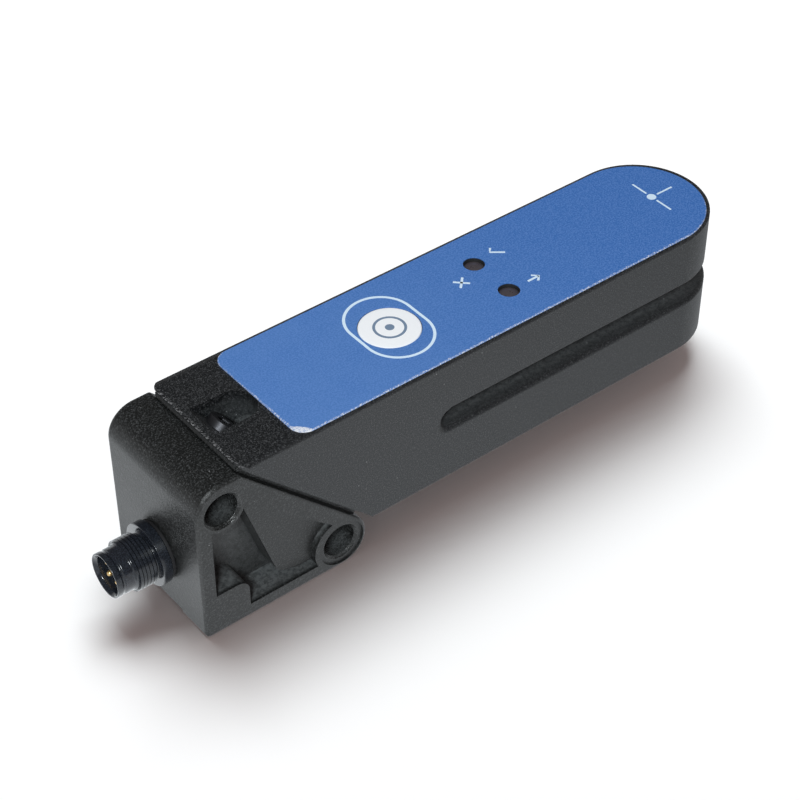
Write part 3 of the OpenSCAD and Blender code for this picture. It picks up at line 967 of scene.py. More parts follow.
def evened(piece: bpy.types.Object) -> bpy.types.Object:
    """Let large faces rule the shading of a piece, so that flat faces stay flat.

    Args:
        piece: The object, which is removed.

    Returns:
        The plain object.
    """
    even = piece.modifiers.new("even_normals", "WEIGHTED_NORMAL")
    even.keep_sharp = True
    return settled(piece)


def settled(piece: bpy.types.Object) -> bpy.types.Object:
    """Turn a piece with modifiers into a plain mesh of the same name.

    Args:
        piece: The object, which is removed.

    Returns:
        The plain object.
    """
    graph = bpy.context.evaluated_depsgraph_get()
    mesh = bpy.data.meshes.new_from_object(piece.evaluated_get(graph))
    mesh.name = name = piece.name
    bpy.data.objects.remove(piece)
    return shown(name, mesh)


def enter(piece: bpy.types.Object, body: str = SENSOR, nodes: Sequence[str] = ()) -> None:
    """Make a piece ride and the nodes that it stands for, and report it.

    Args:
        piece: The finished piece.
        body: The body that it rides on.
        nodes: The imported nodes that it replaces.
    """
    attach(piece, body)
    if nodes:
        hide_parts(*nodes)
    log.info("%s: %d faces on %s", piece.name, len(piece.data.polygons), body)


def rounded(points: Sequence[Point], radius: float, steps: int = 4, closed: bool = False) -> list[Point]:
    """Round the corners of a line.

    Args:
        points: Corners of the line.
        radius: Length that each corner gives up on both sides, less where its sides are short.
        steps: Pieces of each rounding.
        closed: Whether the last corner joins the first.

    Returns:
        The rounded line.
    """
    count = len(points)
    line: list[Point] = []
    for i, corner in enumerate(points):
        if not closed and i in (0, count - 1):
            line.append(corner)
            continue
        here = Vector(corner)
        back = Vector(points[i - 1]) - here
        ahead = Vector(points[(i + 1) % count]) - here
        cut = min(radius, back.length * 0.45, ahead.length * 0.45)
        start = here + back.normalized() * cut
        end = here + ahead.normalized() * cut
        for k in range(steps + 1):
            t = k / steps
            at = start * (1 - t) ** 2 + here * (2 * t * (1 - t)) + end * t ** 2
            line.append((at.x, at.y))
    return line


def backwards(start: Vector) -> Matrix:
    """Give the frame whose height runs out of the back face, towards -X, from a point."""
    return Matrix.Translation(start) @ Matrix.Rotation(math.radians(-90), 4, "Y")


def upright(at: Vector) -> Matrix:
    """Give the frame whose height runs up from the floor, under or over a point."""
    return Matrix.Translation((at.x, at.y, 0.0))


def bridge(
    form: Form,
    loops: Sequence[Sequence[Vector]],
    closed: bool = True,
    around: bool = False,
) -> list[list[bmesh.types.BMVert]]:
    """Join loops of equal length with bands of faces.

    Args:
        form: The form that takes the faces.
        loops: The loops, in order.
        closed: Whether the last point of a loop joins its first.
        around: Whether the last loop joins the first.

    Returns:
        The vertices of each loop.
    """
    made = [[form.verts.new(p) for p in loop] for loop in loops]
    count = len(made[0])
    following = made[1:] + made[:1] if around else made[1:]
    for here, there in zip(made, following):
        for i in range(count if closed else count - 1):
            j = (i + 1) % count
            form.faces.new((here[i], here[j], there[j], there[i]))
    return made


def turned(profile: Sequence[Point], place: Matrix, segments: int = 96, closed: bool = False) -> Form:
    """Turn a profile of (radius, height) about an axis.

    Args:
        profile: The line to turn; an open one starts and ends on the axis.
        place: Frame whose Z axis is the axis of turning.
        segments: Steps round the axis.
        closed: Whether the profile is a closed loop.

    Returns:
        The turned form.
    """
    form = bmesh.new()
    rings = []
    for k in range(segments):
        turn = place @ Matrix.Rotation(2 * math.pi * k / segments, 4, "Z")
        rings.append([turn @ Vector((r, 0.0, h)) for r, h in profile])
    bridge(form, rings, closed, around=True)
    return form


def arc(centre: Point, radius: float, start: float, end: float, steps: int) -> list[Point]:
    """Give points along an arc, from one angle in degrees to another."""
    angles = [math.radians(start + (end - start) * k / steps) for k in range(steps + 1)]
    return [(centre[0] + radius * math.cos(a), centre[1] + radius * math.sin(a)) for a in angles]


def circle(at: Point, radius: float, steps: int) -> list[Point]:
    """Give points round a full circle."""
    return arc(at, radius, 0, 360 - 360 / steps, steps - 1)


def slab(outlines: Sequence[Sequence[Sequence[Point]]], heights: Sequence[float]) -> Form:
    """Build a flat piece whose rim follows several outlines, one above the other.

    Args:
        outlines: For the rim and then for each hole, one loop of points per height.
        heights: Height of each loop.

    Returns:
        The closed form.
    """
    form = bmesh.new()
    stacks = []
    for loops in outlines:
        stacks.append(bridge(form, [[Vector((x, y, z)) for x, y in loop] for loop, z in zip(loops, heights)]))
    for level in (0, -1):
        rims = [stack[level] for stack in stacks]
        flat = [v for rim in rims for v in rim]
        for tri in tessellate_polygon([[v.co for v in rim] for rim in rims]):
            form.faces.new([flat[i] for i in tri])
    return form


def stroke(line: Sequence[Point], width: float, low: float, high: float, closed: bool = False) -> Form:
    """Build a printed stroke: a thin flat band along a line.

    Args:
        line: Middle line of the stroke.
        width: Width of the stroke.
        low: Height of its underside.
        high: Height of its top.
        closed: Whether the line is a loop.

    Returns:
        The closed form.
    """
    count = len(line)
    sections = []
    for i, point in enumerate(line):
        before = Vector(line[i - 1]) if closed or i else Vector(point)
        behind = Vector(line[(i + 1) % count]) if closed or i < count - 1 else Vector(point)
        along = (behind - before).normalized()
        aside = Vector((-along.y, along.x)) * (width / 2)
        right, left = Vector(point) - aside, Vector(point) + aside
        corners = ((right, low), (left, low), (left, high), (right, high))
        sections.append([Vector((*at, height)) for at, height in corners])
    form = bmesh.new()
    made = bridge(form, sections, around=closed)
    if not closed:
        form.faces.new(made[0])
        form.faces.new(made[-1][::-1])
    return form


def dot(at: Vector, radius: float, low: float, high: float) -> Form:
    """Build a printed dot: a thin flat disc.

    Args:
        at: Its middle, seen from above.
        radius: Its radius.
        low: Height of its underside.
        high: Height of its top.

    Returns:
        The closed form.
    """
    profile = [(0.0, low), (radius, low), (radius, high), (0.0, high)]
    return turned(profile, upright(at), 48)


def joined(forms: Sequence[Form]) -> Form:
    """Put several forms into one.

    Args:
        forms: The forms, which are freed.

    Returns:
        The form that holds them all.
    """
    whole = bmesh.new()
    for form in forms:
        mesh = mesh_of(form, "part_of_form")
        whole.from_mesh(mesh)
        bpy.data.meshes.remove(mesh)
    return whole


class GeometryGraph(Graph):
    """A geometry node tree with named inputs, which ends in realized instances and a material."""

    def __init__(self, name: str, inputs: Sequence[tuple[str, str]]) -> None:
        """Make the tree and its sockets.

        Args:
            name: Name of the tree.
            inputs: Name and socket type of each input after the geometry.
        """
        tree = bpy.data.node_groups.new(name, "GeometryNodeTree")
        super().__init__(tree)
        tree.interface.new_socket("Geometry", in_out="INPUT", socket_type="NodeSocketGeometry")
        for label, kind in inputs:
            tree.interface.new_socket(label, in_out="INPUT", socket_type=kind)
        tree.interface.new_socket("Geometry", in_out="OUTPUT", socket_type="NodeSocketGeometry")
        self.entry = tree.nodes.new("NodeGroupInput")

    def given(self, label: str) -> Wire:
        """Give a named input."""
        return Wire(self, self.entry.outputs[label])

    def end(self, geometry: Wire) -> None:
        """Realize the geometry, set its material and send it out.

        Args:
            geometry: The geometry.
        """
        real = self.add("GeometryNodeRealizeInstances", None, {0: geometry})
        inputs = {"Geometry": real, "Material": self.given("Finish")}
        dressed = self.add("GeometryNodeSetMaterial", None, inputs)
        leave = self.tree.nodes.new("NodeGroupOutput")
        self.feed(leave.inputs[0], dressed)

    def run(self, piece: bpy.types.Object, values: dict[str, Any]) -> bpy.types.Object:
        """Run the tree on a piece and give the plain result.

        Args:
            piece: The object that carries the modifier; it is removed.
            values: Value of each named input.

        Returns:
            The plain object.
        """
        modifier = piece.modifiers.new(self.tree.name, "NODES")
        modifier.node_group = self.tree
        for item in self.tree.interface.items_tree:
            if item.in_out == "INPUT" and item.name in values:
                modifier[item.identifier] = values[item.name]
        return settled(piece)


def copies_tree() -> GeometryGraph:
    """Build the tree that sets one master on every point, turned to the point's own facing.

    Returns:
        The tree.
    """
    graph = GeometryGraph("copies", [("Master", "NodeSocketObject"), ("Finish", "NodeSocketMaterial")])
    facing = graph.add("GeometryNodeInputNamedAttribute", {"data_type": "FLOAT_VECTOR"}, {"Name": "facing"})
    turn = graph.add("FunctionNodeAlignRotationToVector", {"axis": "Z"}, {"Vector": facing})
    master = graph.add("GeometryNodeObjectInfo", None, {"Object": graph.given("Master")}, "Geometry")
    inputs = {"Points": graph.given("Geometry"), "Instance": master, "Rotation": turn}
    graph.end(graph.add("GeometryNodeInstanceOnPoints", None, inputs))
    return graph


def thread_tree() -> GeometryGraph:
    """Build the tree that winds a thread's crest round a turned blank.

    Returns:
        The tree.
    """
    kinds = ["Core Radius", "Crest Height", "Crest Base", "Crest Top", "Length", "Turns", "Segments"]
    inputs = [(kind, "NodeSocketFloat") for kind in kinds]
    places = [("Start", "NodeSocketVector"), ("Finish", "NodeSocketMaterial")]
    graph = GeometryGraph("thread", inputs + places)
    core = graph.given("Core Radius")
    middle = core + graph.given("Crest Height") * 0.5
    helix = graph.add("GeometryNodeCurveSpiral", None, {
        "Resolution": graph.given("Segments"),
        "Rotations": graph.given("Turns"),
        "Start Radius": middle,
        "End Radius": middle,
        "Height": graph.given("Length"),
    })
    standing = graph.add("GeometryNodeSetCurveNormal", {"mode": "Z_UP"}, {"Curve": helix})
    section = graph.add("GeometryNodeCurvePrimitiveQuadrilateral", {"mode": "TRAPEZOID"}, {
        "Bottom Width": graph.given("Crest Base"),
        "Top Width": graph.given("Crest Top"),
        "Height": graph.given("Crest Height"),
        "Offset": 0.0,
    })
    turned_in = graph.add("GeometryNodeTransform", None, {
        "Geometry": section,
        "Rotation": (0.0, 0.0, math.radians(-90)),
    })
    crest = graph.add("GeometryNodeCurveToMesh", None, {
        "Curve": standing,
        "Profile Curve": turned_in,
        "Fill Caps": True,
    })
    laid = graph.add("GeometryNodeTransform", None, {
        "Geometry": crest,
        "Translation": graph.given("Start"),
        "Rotation": (0.0, math.radians(-90), 0.0),
    })
    both = graph.add("GeometryNodeJoinGeometry")
    node = both.socket.node
    graph.feed(node.inputs[0], laid)
    graph.feed(node.inputs[0], graph.given("Geometry"))
    graph.end(both)
    return graph


def copies(
    name: str,
    master: Form,
    places: Sequence[tuple[Vector, Vector]],
    finish: Finish,
) -> bpy.types.Object:
    """Set copies of a master form at several places.

    Args:
        name: Name of the piece.
        master: The form, built at the origin with its outer end towards +Z.
        places: Place and facing of each copy.
        finish: Finish of the copies.

    Returns:
        The plain piece that holds all copies.
    """
    pattern = new_piece(name + "_master", master, finish)
    points = bpy.data.meshes.new(name)
    points.from_pydata([place for place, _ in places], [], [])
    facing = points.attributes.new("facing", "FLOAT_VECTOR", "POINT")
    facing.data.foreach_set("vector", [c for _, way in places for c in way])
    made = copies_tree().run(shown(name, points), {"Master": pattern, "Finish": finish.material()})
    bpy.data.objects.remove(pattern)
    shaded(made.data)
    return made


@dataclass
class Casting:
    """A die casting that shows with softly broken edges."""

    node: str
    name: str
    slot: str
    face: Finish
    edge: Finish
    soften: float = 0.14 * MM
    segments: int = 2
    sharp_angle: float = 28.0
    flat_angle: float = 0.4
    merge: float = 0.002 * MM

    def build(self) -> None:
        """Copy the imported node, clean it, break its edges and enter it."""
        form = bmesh.new()
        form.from_mesh(frame["nodes"][self.node].data)
        bmesh.ops.remove_doubles(form, verts=form.verts, dist=self.merge)
        bmesh.ops.dissolve_degenerate(form, edges=form.edges, dist=self.merge)
        flat = math.radians(self.flat_angle)
        bmesh.ops.dissolve_limit(form, angle_limit=flat, verts=form.verts, edges=form.edges)
        mesh = mesh_of(form, self.name, self.face.material(), self.edge.material())
        shaded(mesh, self.sharp_angle)
        piece = shown(self.name, mesh)
        bevel = piece.modifiers.new("broken_edges", "BEVEL")
        bevel.width = self.soften
        bevel.segments = self.segments
        bevel.limit_method = "ANGLE"
        bevel.angle_limit = math.radians(self.sharp_angle)
        bevel.use_clamp_overlap = True
        bevel.material = 1
        enter(evened(piece), nodes=[self.node])


@dataclass
class Keypad:
    """The blue film on the top face, with what is printed on it."""

    ink: float = 0.012 * MM
    rim: float = 0.06 * MM
    rear_corner: float = 2.4 * MM
    key_gap: float = 0.06 * MM
    lamp_hole: float = 1.65 * MM
    stroke_w: float = 0.45 * MM
    ring_half_length: float = 7.32 * MM
    ring_half_width: float = 5.28 * MM
    ring_aside: float = 0.15 * MM
    mark_dot: float = 0.75 * MM
    mark_gap: float = 1.15 * MM
    mark_reach: float = 4.3 * MM
    mark_w: float = 0.32 * MM
    sign_w: float = 0.38 * MM
    sign_ahead: float = 4.6 * MM
    sign_behind: float = 4.4 * MM
    tick_aside: float = 4.4 * MM
    cross_aside: float = 1.6 * MM
    arrow_aside: float = -4.2 * MM
    short_tip: float = 0.6 * MM
    short_side: float = 0.12 * MM
    arc_steps: int = 48
    corner_steps: int = 12
    hole_steps: int = 72

    def __post_init__(self) -> None:
        """Take the film's place from its node, cut a little short at the tip and the far side."""
        low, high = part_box("front_film")
        self.low = low.z
        self.high = high.z
        self.half = (high.y - self.short_side - low.y) / 2
        self.middle = low.y + self.half
        self.start = low.x
        self.round_at = high.x - self.short_tip - self.half
        self.key_at = centre_of("teach_key")
        self.lamps_at = [centre_of("lamp_window_near"), centre_of("lamp_window_far")]
        self.beam_at = centre_of("receiver_window")

    def outline(self, inset: float) -> list[Point]:
        """Give the film's rim.

        Args:
            inset: How far it is moved inwards.

        Returns:
            The rim's points.
        """
        half = self.half - inset
        corner = self.rear_corner - inset
        rear = self.start + self.rear_corner
        side = self.half - self.rear_corner
        tip = arc((self.round_at, self.middle), half, -90, 90, self.arc_steps)
        far = arc((rear, self.middle + side), corner, 90, 180, self.corner_steps)
        near = arc((rear, self.middle - side), corner, 180, 270, self.corner_steps)
        return tip + far + near

    def hole(self, at: Vector, radius: float, inset: float) -> list[Point]:
        """Give a hole's rim, opened by an inset."""
        return circle((at.x, at.y), radius + inset, self.hole_steps)

    def build(self) -> None:
        """Build the film and its print."""
        top = self.high - self.ink
        eased = self.rim * 0.3
        insets = [0.0, 0.0, eased, self.rim]
        heights = [self.low, top - self.rim, top - eased, top]
        holes = [(self.key_at, key_radius() + self.key_gap)] + [(at, self.lamp_hole) for at in self.lamps_at]
        outlines = [[self.outline(inset) for inset in insets]]
        outlines += [[self.hole(at, radius, inset) for inset in insets] for at, radius in holes]
        finish = PrintedFilm(
            "printed_film",
            start=self.start,
            corner=self.rear_corner,
            round_at=self.round_at,
            middle=self.middle,
            half_width=self.half,
        )
        film = evened(new_piece("keypad_film", slab(outlines, heights), finish))
        enter(film, nodes=["front_film"])
        enter(self.key_ring(top))
        enter(self.beam_mark(top))
        enter(self.lamp_signs(top))

    def key_ring(self, top: float) -> bpy.types.Object:
        """Print the long ring round the key.

        Args:
            top: Height of the film under the ink.

        Returns:
            The print.
        """
        straight = self.ring_half_length - self.ring_half_width
        x, y = self.key_at.x, self.key_at.y + self.ring_aside
        line = arc((x, y + straight), self.ring_half_width, 0, 180, self.arc_steps)
        line += arc((x, y - straight), self.ring_half_width, 180, 360, self.arc_steps)
        form = stroke(line, self.stroke_w, top, self.high, closed=True)
        return new_piece("key_ring_print", form, FILM_INK)

    def beam_mark(self, top: float) -> bpy.types.Object:
        """Print the dot and the three lines that show where the beam is.

        Args:
            top: Height of the film under the ink.

        Returns:
            The print.
        """
        at = self.beam_at
        forms = [dot(at, self.mark_dot, top, self.high)]
        for way in (Vector((0, 1)), Vector((0, -1)), Vector((1, 0))):
            line = [(at.x + way.x * d, at.y + way.y * d) for d in (self.mark_gap, self.mark_reach)]
            forms.append(stroke(line, self.mark_w, top, self.high))
        return new_piece("beam_mark_print", joined(forms), FILM_INK)

    def lamp_signs(self, top: float) -> bpy.types.Object:
        """Print plain signs beside the lamps: a tick, a cross and an arrow.

        Args:
            top: Height of the film under the ink.

        Returns:
            The print.
        """
        ahead = self.lamps_at[0].x + self.sign_ahead
        behind = self.lamps_at[0].x - self.sign_behind
        tick = [(-0.2, 1.1), (-0.9, 0.3), (0.9, -1.1)]
        cross = [[(-0.9, -0.9), (0.9, 0.9)], [(-0.9, 0.9), (0.9, -0.9)]]
        arrow = [[(-1.1, 0.0), (1.0, 0.0)], [(0.2, 0.8), (1.05, 0.0), (0.2, -0.8)]]
        signs = (
            ([tick], ahead, self.tick_aside),
            (cross, behind, self.cross_aside),
            (arrow, ahead, self.arrow_aside),
        )
        forms = []
        for lines, at_x, at_y in signs:
            for line in lines:
                points = [(at_x + x * MM, at_y + y * MM) for x, y in line]
                forms.append(stroke(points, self.sign_w, top, self.high))
        return new_piece("lamp_sign_print", joined(forms), FILM_INK)


def centre_of(node: str) -> Vector:
    """Give the middle of a node's box."""
    low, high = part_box(node)
    return (low + high) / 2


def key_radius() -> float:
    """Give the radius of the key's cap, which stands on a wider flange."""
    low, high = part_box("teach_key")
    return (high.x - low.x) / 2 - KEY_FLANGE


@dataclass
class TeachKey:
    """The white key that is pushed down in the film's hole."""

    crown: float = 0.07 * MM
    rim: float = 0.22 * MM
    stem_r: float = 1.6 * MM
    flange_above_plunger: float = 0.3 * MM
    flange_height: float = 0.85 * MM
    sign_w: float = 0.42 * MM
    sign_ring: float = 2.3 * MM
    sign_dot: float = 0.7 * MM

    def build(self) -> None:
        """Turn the key and print its sign."""
        low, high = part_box("teach_key")
        at = centre_of("teach_key")
        radius = key_radius()
        flange_r = radius + KEY_FLANGE
        flange_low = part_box("switch_plunger")[1].z + self.flange_above_plunger
        flange_high = flange_low + self.flange_height
        edge = high.z - self.crown
        profile = [(0.0, low.z), (self.stem_r, low.z), (self.stem_r, flange_low), (flange_r, flange_low)]
        profile += [(flange_r, flange_high), (radius, flange_high), (radius, edge)]
        for t in (0.15, 0.3, 0.5, 0.75, 1.0):
            profile.append((radius * (1 - t), edge + self.crown * (1 - (1 - t) ** 2)))
        form = turned(rounded(profile, self.rim, 5), upright(at), 128)
        cap = new_piece("key_cap", form, KEY_PLASTIC, 40.0)
        enter(cap, KEY_BODY, ["teach_key"])
        enter(self.sign(at, high.z), KEY_BODY)

    def sign(self, at: Vector, top: float) -> bpy.types.Object:
        """Print a plain target on the key.

        Args:
            at: The key's middle.
            top: Height of the key's top.

        Returns:
            The print.
        """
        low = top - self.crown
        line = circle((at.x, at.y), self.sign_ring, 64)
        ring = stroke(line, self.sign_w, low, top - self.crown * 0.18, closed=True)
        return new_piece("key_sign_print", joined([ring, dot(at, self.sign_dot, low, top)]), KEY_INK)


@dataclass
class LampWindow:
    """A smoked window over a signal lamp, domed at its top."""

    node: str
    radius: float = 1.6 * MM
    flange: float = 2.1 * MM
    dome: float = 0.35 * MM
    steps: int = 8

    def build(self) -> None:
        """Turn the window."""
        low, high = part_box(self.node)
        at = centre_of(self.node)
        cover_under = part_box("top_cover")[0].z
        rim = high.z - self.dome
        dome = [(r * self.radius, rim + h * self.dome) for r, h in arc((0, 0), 1.0, 0, 90, self.steps)]
        profile = [(0.0, low.z), (self.flange, low.z), (self.flange, cover_under), (self.radius, cover_under)]
        form = turned(profile + dome, upright(at), 64)
        piece = new_piece(self.node.replace("window", "lens"), form, LENS_PLASTIC)
        enter(piece, nodes=[self.node])


@dataclass
class RoundConnector:
    """The turned connector: shell with thread, pin carrier, pins and seal."""

    thread_r: float = 4.0 * MM
    core_r: float = 3.68 * MM
    nose_r: float = 3.45 * MM
    bore_r: float = 2.8 * MM
    collar_start: float = 0.7 * MM
    collar_end: float = 2.2 * MM
    thread_start: float = 2.85 * MM
    thread_end: float = 5.75 * MM
    lip: float = 0.25 * MM
    funnel: float = 0.55 * MM
    turns: float = 5.2
    break_edge: float = 0.12 * MM
    shank_r: float = 3.87 * MM
    groove: float = 0.5 * MM
    snap_back: float = 1.15 * MM
    snap_deep: float = 0.22 * MM
    crest_sunk: float = 0.05 * MM
    crest_base: float = 0.46 * MM
    crest_top: float = 0.12 * MM
    carrier_rim: float = 2.35 * MM
    carrier_deep: float = 0.15 * MM
    pin_r: float = 0.45 * MM
    seal_inner: float = 3.9 * MM

    def __post_init__(self) -> None:
        """Take the connector's axis and reach from its nodes."""
        low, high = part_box("plug_shell")
        self.reach = BACK - low.x
        self.inner = BACK - high.x
        self.collar_r = (high.z - low.z) / 2
        self.axis = Vector((BACK, 0.0, (high.z + low.z) / 2))

    def build(self) -> None:
        """Build the shell, the carrier, the pins and the seal."""
        enter(self.shell(), nodes=["plug_shell"])
        enter(self.carrier(), nodes=["plug_insert"])
        enter(self.pins(), nodes=["contact_pins"])
        enter(self.seal(), nodes=["plug_seal"])

    def shell(self) -> bpy.types.Object:
        """Turn the shell and wind its thread.

        Returns:
            The shell with its thread.
        """
        groove_r = self.thread_r - self.groove
        snap = self.reach - self.snap_back
        snap_r = self.nose_r - self.snap_deep
        corners = [
            (self.bore_r, self.inner),
            (self.shank_r, self.inner),
            (self.shank_r, self.collar_start),
            (self.collar_r, self.collar_start),
            (self.collar_r, self.collar_end),
            (groove_r, self.collar_end),
            (groove_r, self.thread_start - 0.3 * MM),
            (self.core_r, self.thread_start - 0.1 * MM),
            (self.core_r, self.thread_end + 0.05 * MM),
            (self.nose_r, self.thread_end + 0.3 * MM),
            (self.nose_r, snap - 0.3 * MM),
            (snap_r, snap - 0.12 * MM),
            (snap_r, snap + 0.12 * MM),
            (self.nose_r, snap + 0.3 * MM),
            (self.nose_r, self.reach),
            (self.nose_r - self.lip, self.reach),
            (self.bore_r, self.reach - self.funnel),
        ]
        profile = rounded(corners, self.break_edge, 4, closed=True)
        form = turned(profile, backwards(self.axis), 128, closed=True)
        blank = new_piece("plug_shell_threaded", form, SHELL_GLOSS)
        values = {
            "Core Radius": self.core_r - self.crest_sunk,
            "Crest Height": self.thread_r - self.core_r + 0.04 * MM,
            "Crest Base": self.crest_base,
            "Crest Top": self.crest_top,
            "Length": self.thread_end - self.thread_start,
            "Turns": self.turns,
            "Segments": 72.0,
            "Start": self.axis - Vector((self.thread_start, 0.0, 0.0)),
            "Finish": SHELL_GLOSS.material(),
        }
        made = thread_tree().run(blank, values)
        shaded(made.data)
        return made

    def carrier(self) -> bpy.types.Object:
        """Turn the pin carrier with its raised rim.

        Returns:
            The carrier.
        """
        face, back = (BACK - corner.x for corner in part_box("plug_insert"))
        outer = self.bore_r - 0.01 * MM
        floor = face - self.carrier_deep
        corners = [(0.0, back), (outer, back), (outer, face), (self.carrier_rim, face)]
        corners += [(self.carrier_rim - 0.1 * MM, floor), (0.0, floor)]
        form = turned(rounded(corners, 0.08 * MM, 3), backwards(self.axis))
        return new_piece("plug_carrier", form, CARRIER_PLASTIC)

    def pins(self) -> bpy.types.Object:
        """Set the four pins with rounded tips.

        Returns:
            The pins.
        """
        low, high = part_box("contact_pins")
        offset = (high.y - low.y) / 2 - self.pin_r
        tip = arc((0.0, high.x - low.x - self.pin_r), self.pin_r, 0, 90, 6)
        master = turned([(0.0, 0.0), (self.pin_r, 0.0)] + tip, Matrix.Identity(4), 32)
        outwards = Vector((-1.0, 0.0, 0.0))
        places = []
        for side, level in ((1, 1), (1, -1), (-1, -1), (-1, 1)):
            at = Vector((high.x, side * offset, self.axis.z + level * offset))
            places.append((at, outwards))
        return copies("plug_pins", master, places, PIN_GOLD)

    def seal(self) -> bpy.types.Object:
        """Turn the seal between the collar and the head.

        Returns:
            The seal.
        """
        low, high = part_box("plug_seal")
        outer = (high.z - low.z) / 2
        inner = self.seal_inner
        corners = [(inner, 0.0), (outer, 0.0), (outer, self.collar_start), (inner, self.collar_start)]
        form = turned(rounded(corners, 0.2 * MM, 4, closed=True), backwards(self.axis), closed=True)
        return new_piece("plug_seal_ring", form, SEAL_RUBBER)


@dataclass
class Fasteners:
    """The small cover screws and the socket screw of the joint."""

    head_r: float = 1.6 * MM
    head_h: float = 0.8 * MM
    shank_r: float = 0.77 * MM
    length: float = 4.0 * MM
    socket_r: float = 0.65 * MM
    socket_depth: float = 0.5 * MM
    apart_x: float = 8 * MM
    apart_y: float = 5 * MM
    sides: int = 48

    def build(self) -> None:
        """Set the cover screws, and dress the joint's screw as it is."""
        places = [(at, Vector((0.0, 0.0, way))) for at, way in self.places()]
        screws = copies("cover_screw_set", self.master(), places, SCREW_STEEL)
        enter(screws, nodes=["cover_screws"])
        Casting("head_screw", "joint_screw", "screw_black", SCREW_BLACK, SCREW_BLACK, 0.08 * MM).build()

    def places(self) -> list[tuple[Vector, float]]:
        """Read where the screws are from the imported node.

        Returns:
            The top of each screw's head, and 1 where it faces up or -1 where it faces down.
        """
        seen: dict[tuple[int, int, int], list[Vector]] = {}
        middle = centre_of("cover_screws").z
        for vertex in frame["nodes"]["cover_screws"].data.vertices:
            at = vertex.co
            key = (round(at.x / self.apart_x), round(at.y / self.apart_y), int(at.z > middle))
            seen.setdefault(key, []).append(at)
        found = []
        for (_, _, up), points in sorted(seen.items()):
            top = max(p.z for p in points) if up else min(p.z for p in points)
            rim = [p for p in points if abs(p.z - top) < 0.01 * MM]
            x = (min(p.x for p in rim) + max(p.x for p in rim)) / 2
            y = (min(p.y for p in rim) + max(p.y for p in rim)) / 2
            found.append((Vector((x, y, top)), 1.0 if up else -1.0))
        return found

    def master(self) -> Form:
        """Build one screw: countersunk head, shank and hexagon socket.

        Returns:
            The screw, its head's top at the origin.
        """
        outer = (
            (self.shank_r * 0.4, -self.length),
            (self.shank_r, -self.length + 0.4 * MM),
            (self.shank_r, -self.head_h),
            (self.head_r, -0.08 * MM),
            (self.head_r - 0.06 * MM, 0.0),
        )
        socket = (
            (1.08, 0.0),
            (1.0, -0.05 * MM),
            (1.0, -self.socket_depth),
            (0.5, -self.socket_depth - 0.2 * MM),
        )
        loops = [[Vector((*at, height)) for at in circle((0, 0), r, self.sides)] for r, height in outer]
        hexagon = [Vector((*self.hexagon_at(k), 0.0)) for k in range(self.sides)]
        loops += [[at * scale + Vector((0.0, 0.0, height)) for at in hexagon] for scale, height in socket]
        form = bmesh.new()
        rings = bridge(form, loops)
        form.faces.new(rings[0])
        form.faces.new(rings[-1])
        return form

    def hexagon_at(self, k: int) -> Point:
        """Give a point of the socket's hexagon.

        Args:
            k: Number of the step round it.

        Returns:
            The point.
        """
        angle = 2 * math.pi * k / self.sides
        within = (angle % (math.pi / 3)) - math.pi / 6
        radius = self.socket_r * math.cos(math.pi / 6) / math.cos(within)
        return (radius * math.cos(angle), radius * math.sin(angle))


class Reach(Enum):
    """What a lamp lights, by the state of its link to the floor."""

    ALL = ""
    FLOOR = "INCLUDE"
    OBJECT = "EXCLUDE"


@dataclass(frozen=True)
class SoftBox:
    """A square soft lamp, aimed at a point."""

    name: str
    at: Place
    size: float
    power: float
    reach: Reach = Reach.ALL
    target: Place = (0.0, 0.0, 0.0)
    glossy: bool = False
    colour: Colour = (1.0, 1.07, 1.09)

    def build(self, floor: bpy.types.Object) -> None:
        """Hang the lamp.

        Args:
            floor: The floor, which the lamp may light alone or leave out.
        """
        data = bpy.data.lights.new(self.name, "AREA")
        data.shape = "SQUARE"
        data.size = self.size
        data.energy = self.power
        data.color = self.colour
        lamp = shown(self.name, data)
        lamp.location = self.at
        lamp.rotation_euler = (Vector(self.target) - Vector(self.at)).to_track_quat("-Z", "Y").to_euler()
        lamp.visible_glossy = self.glossy
        if self.reach is not Reach.ALL:
            group = bpy.data.collections.new(self.name + "_floor")
            group.objects.link(floor)
            group.collection_objects[0].light_linking.link_state = self.reach.value
            lamp.light_linking.receiver_collection = group


LAMPS = (
    SoftBox("over_light", (0.22, 0.36, 0.93), 0.66, 2.7),
    SoftBox("floor_light", (0.22, 0.36, 0.93), 0.66, 8.3, Reach.FLOOR),
    SoftBox("front_light", (-0.52, -0.50, 0.62), 0.18, 6.2, Reach.OBJECT, (0.0, 0.0, 0.01), True),
)


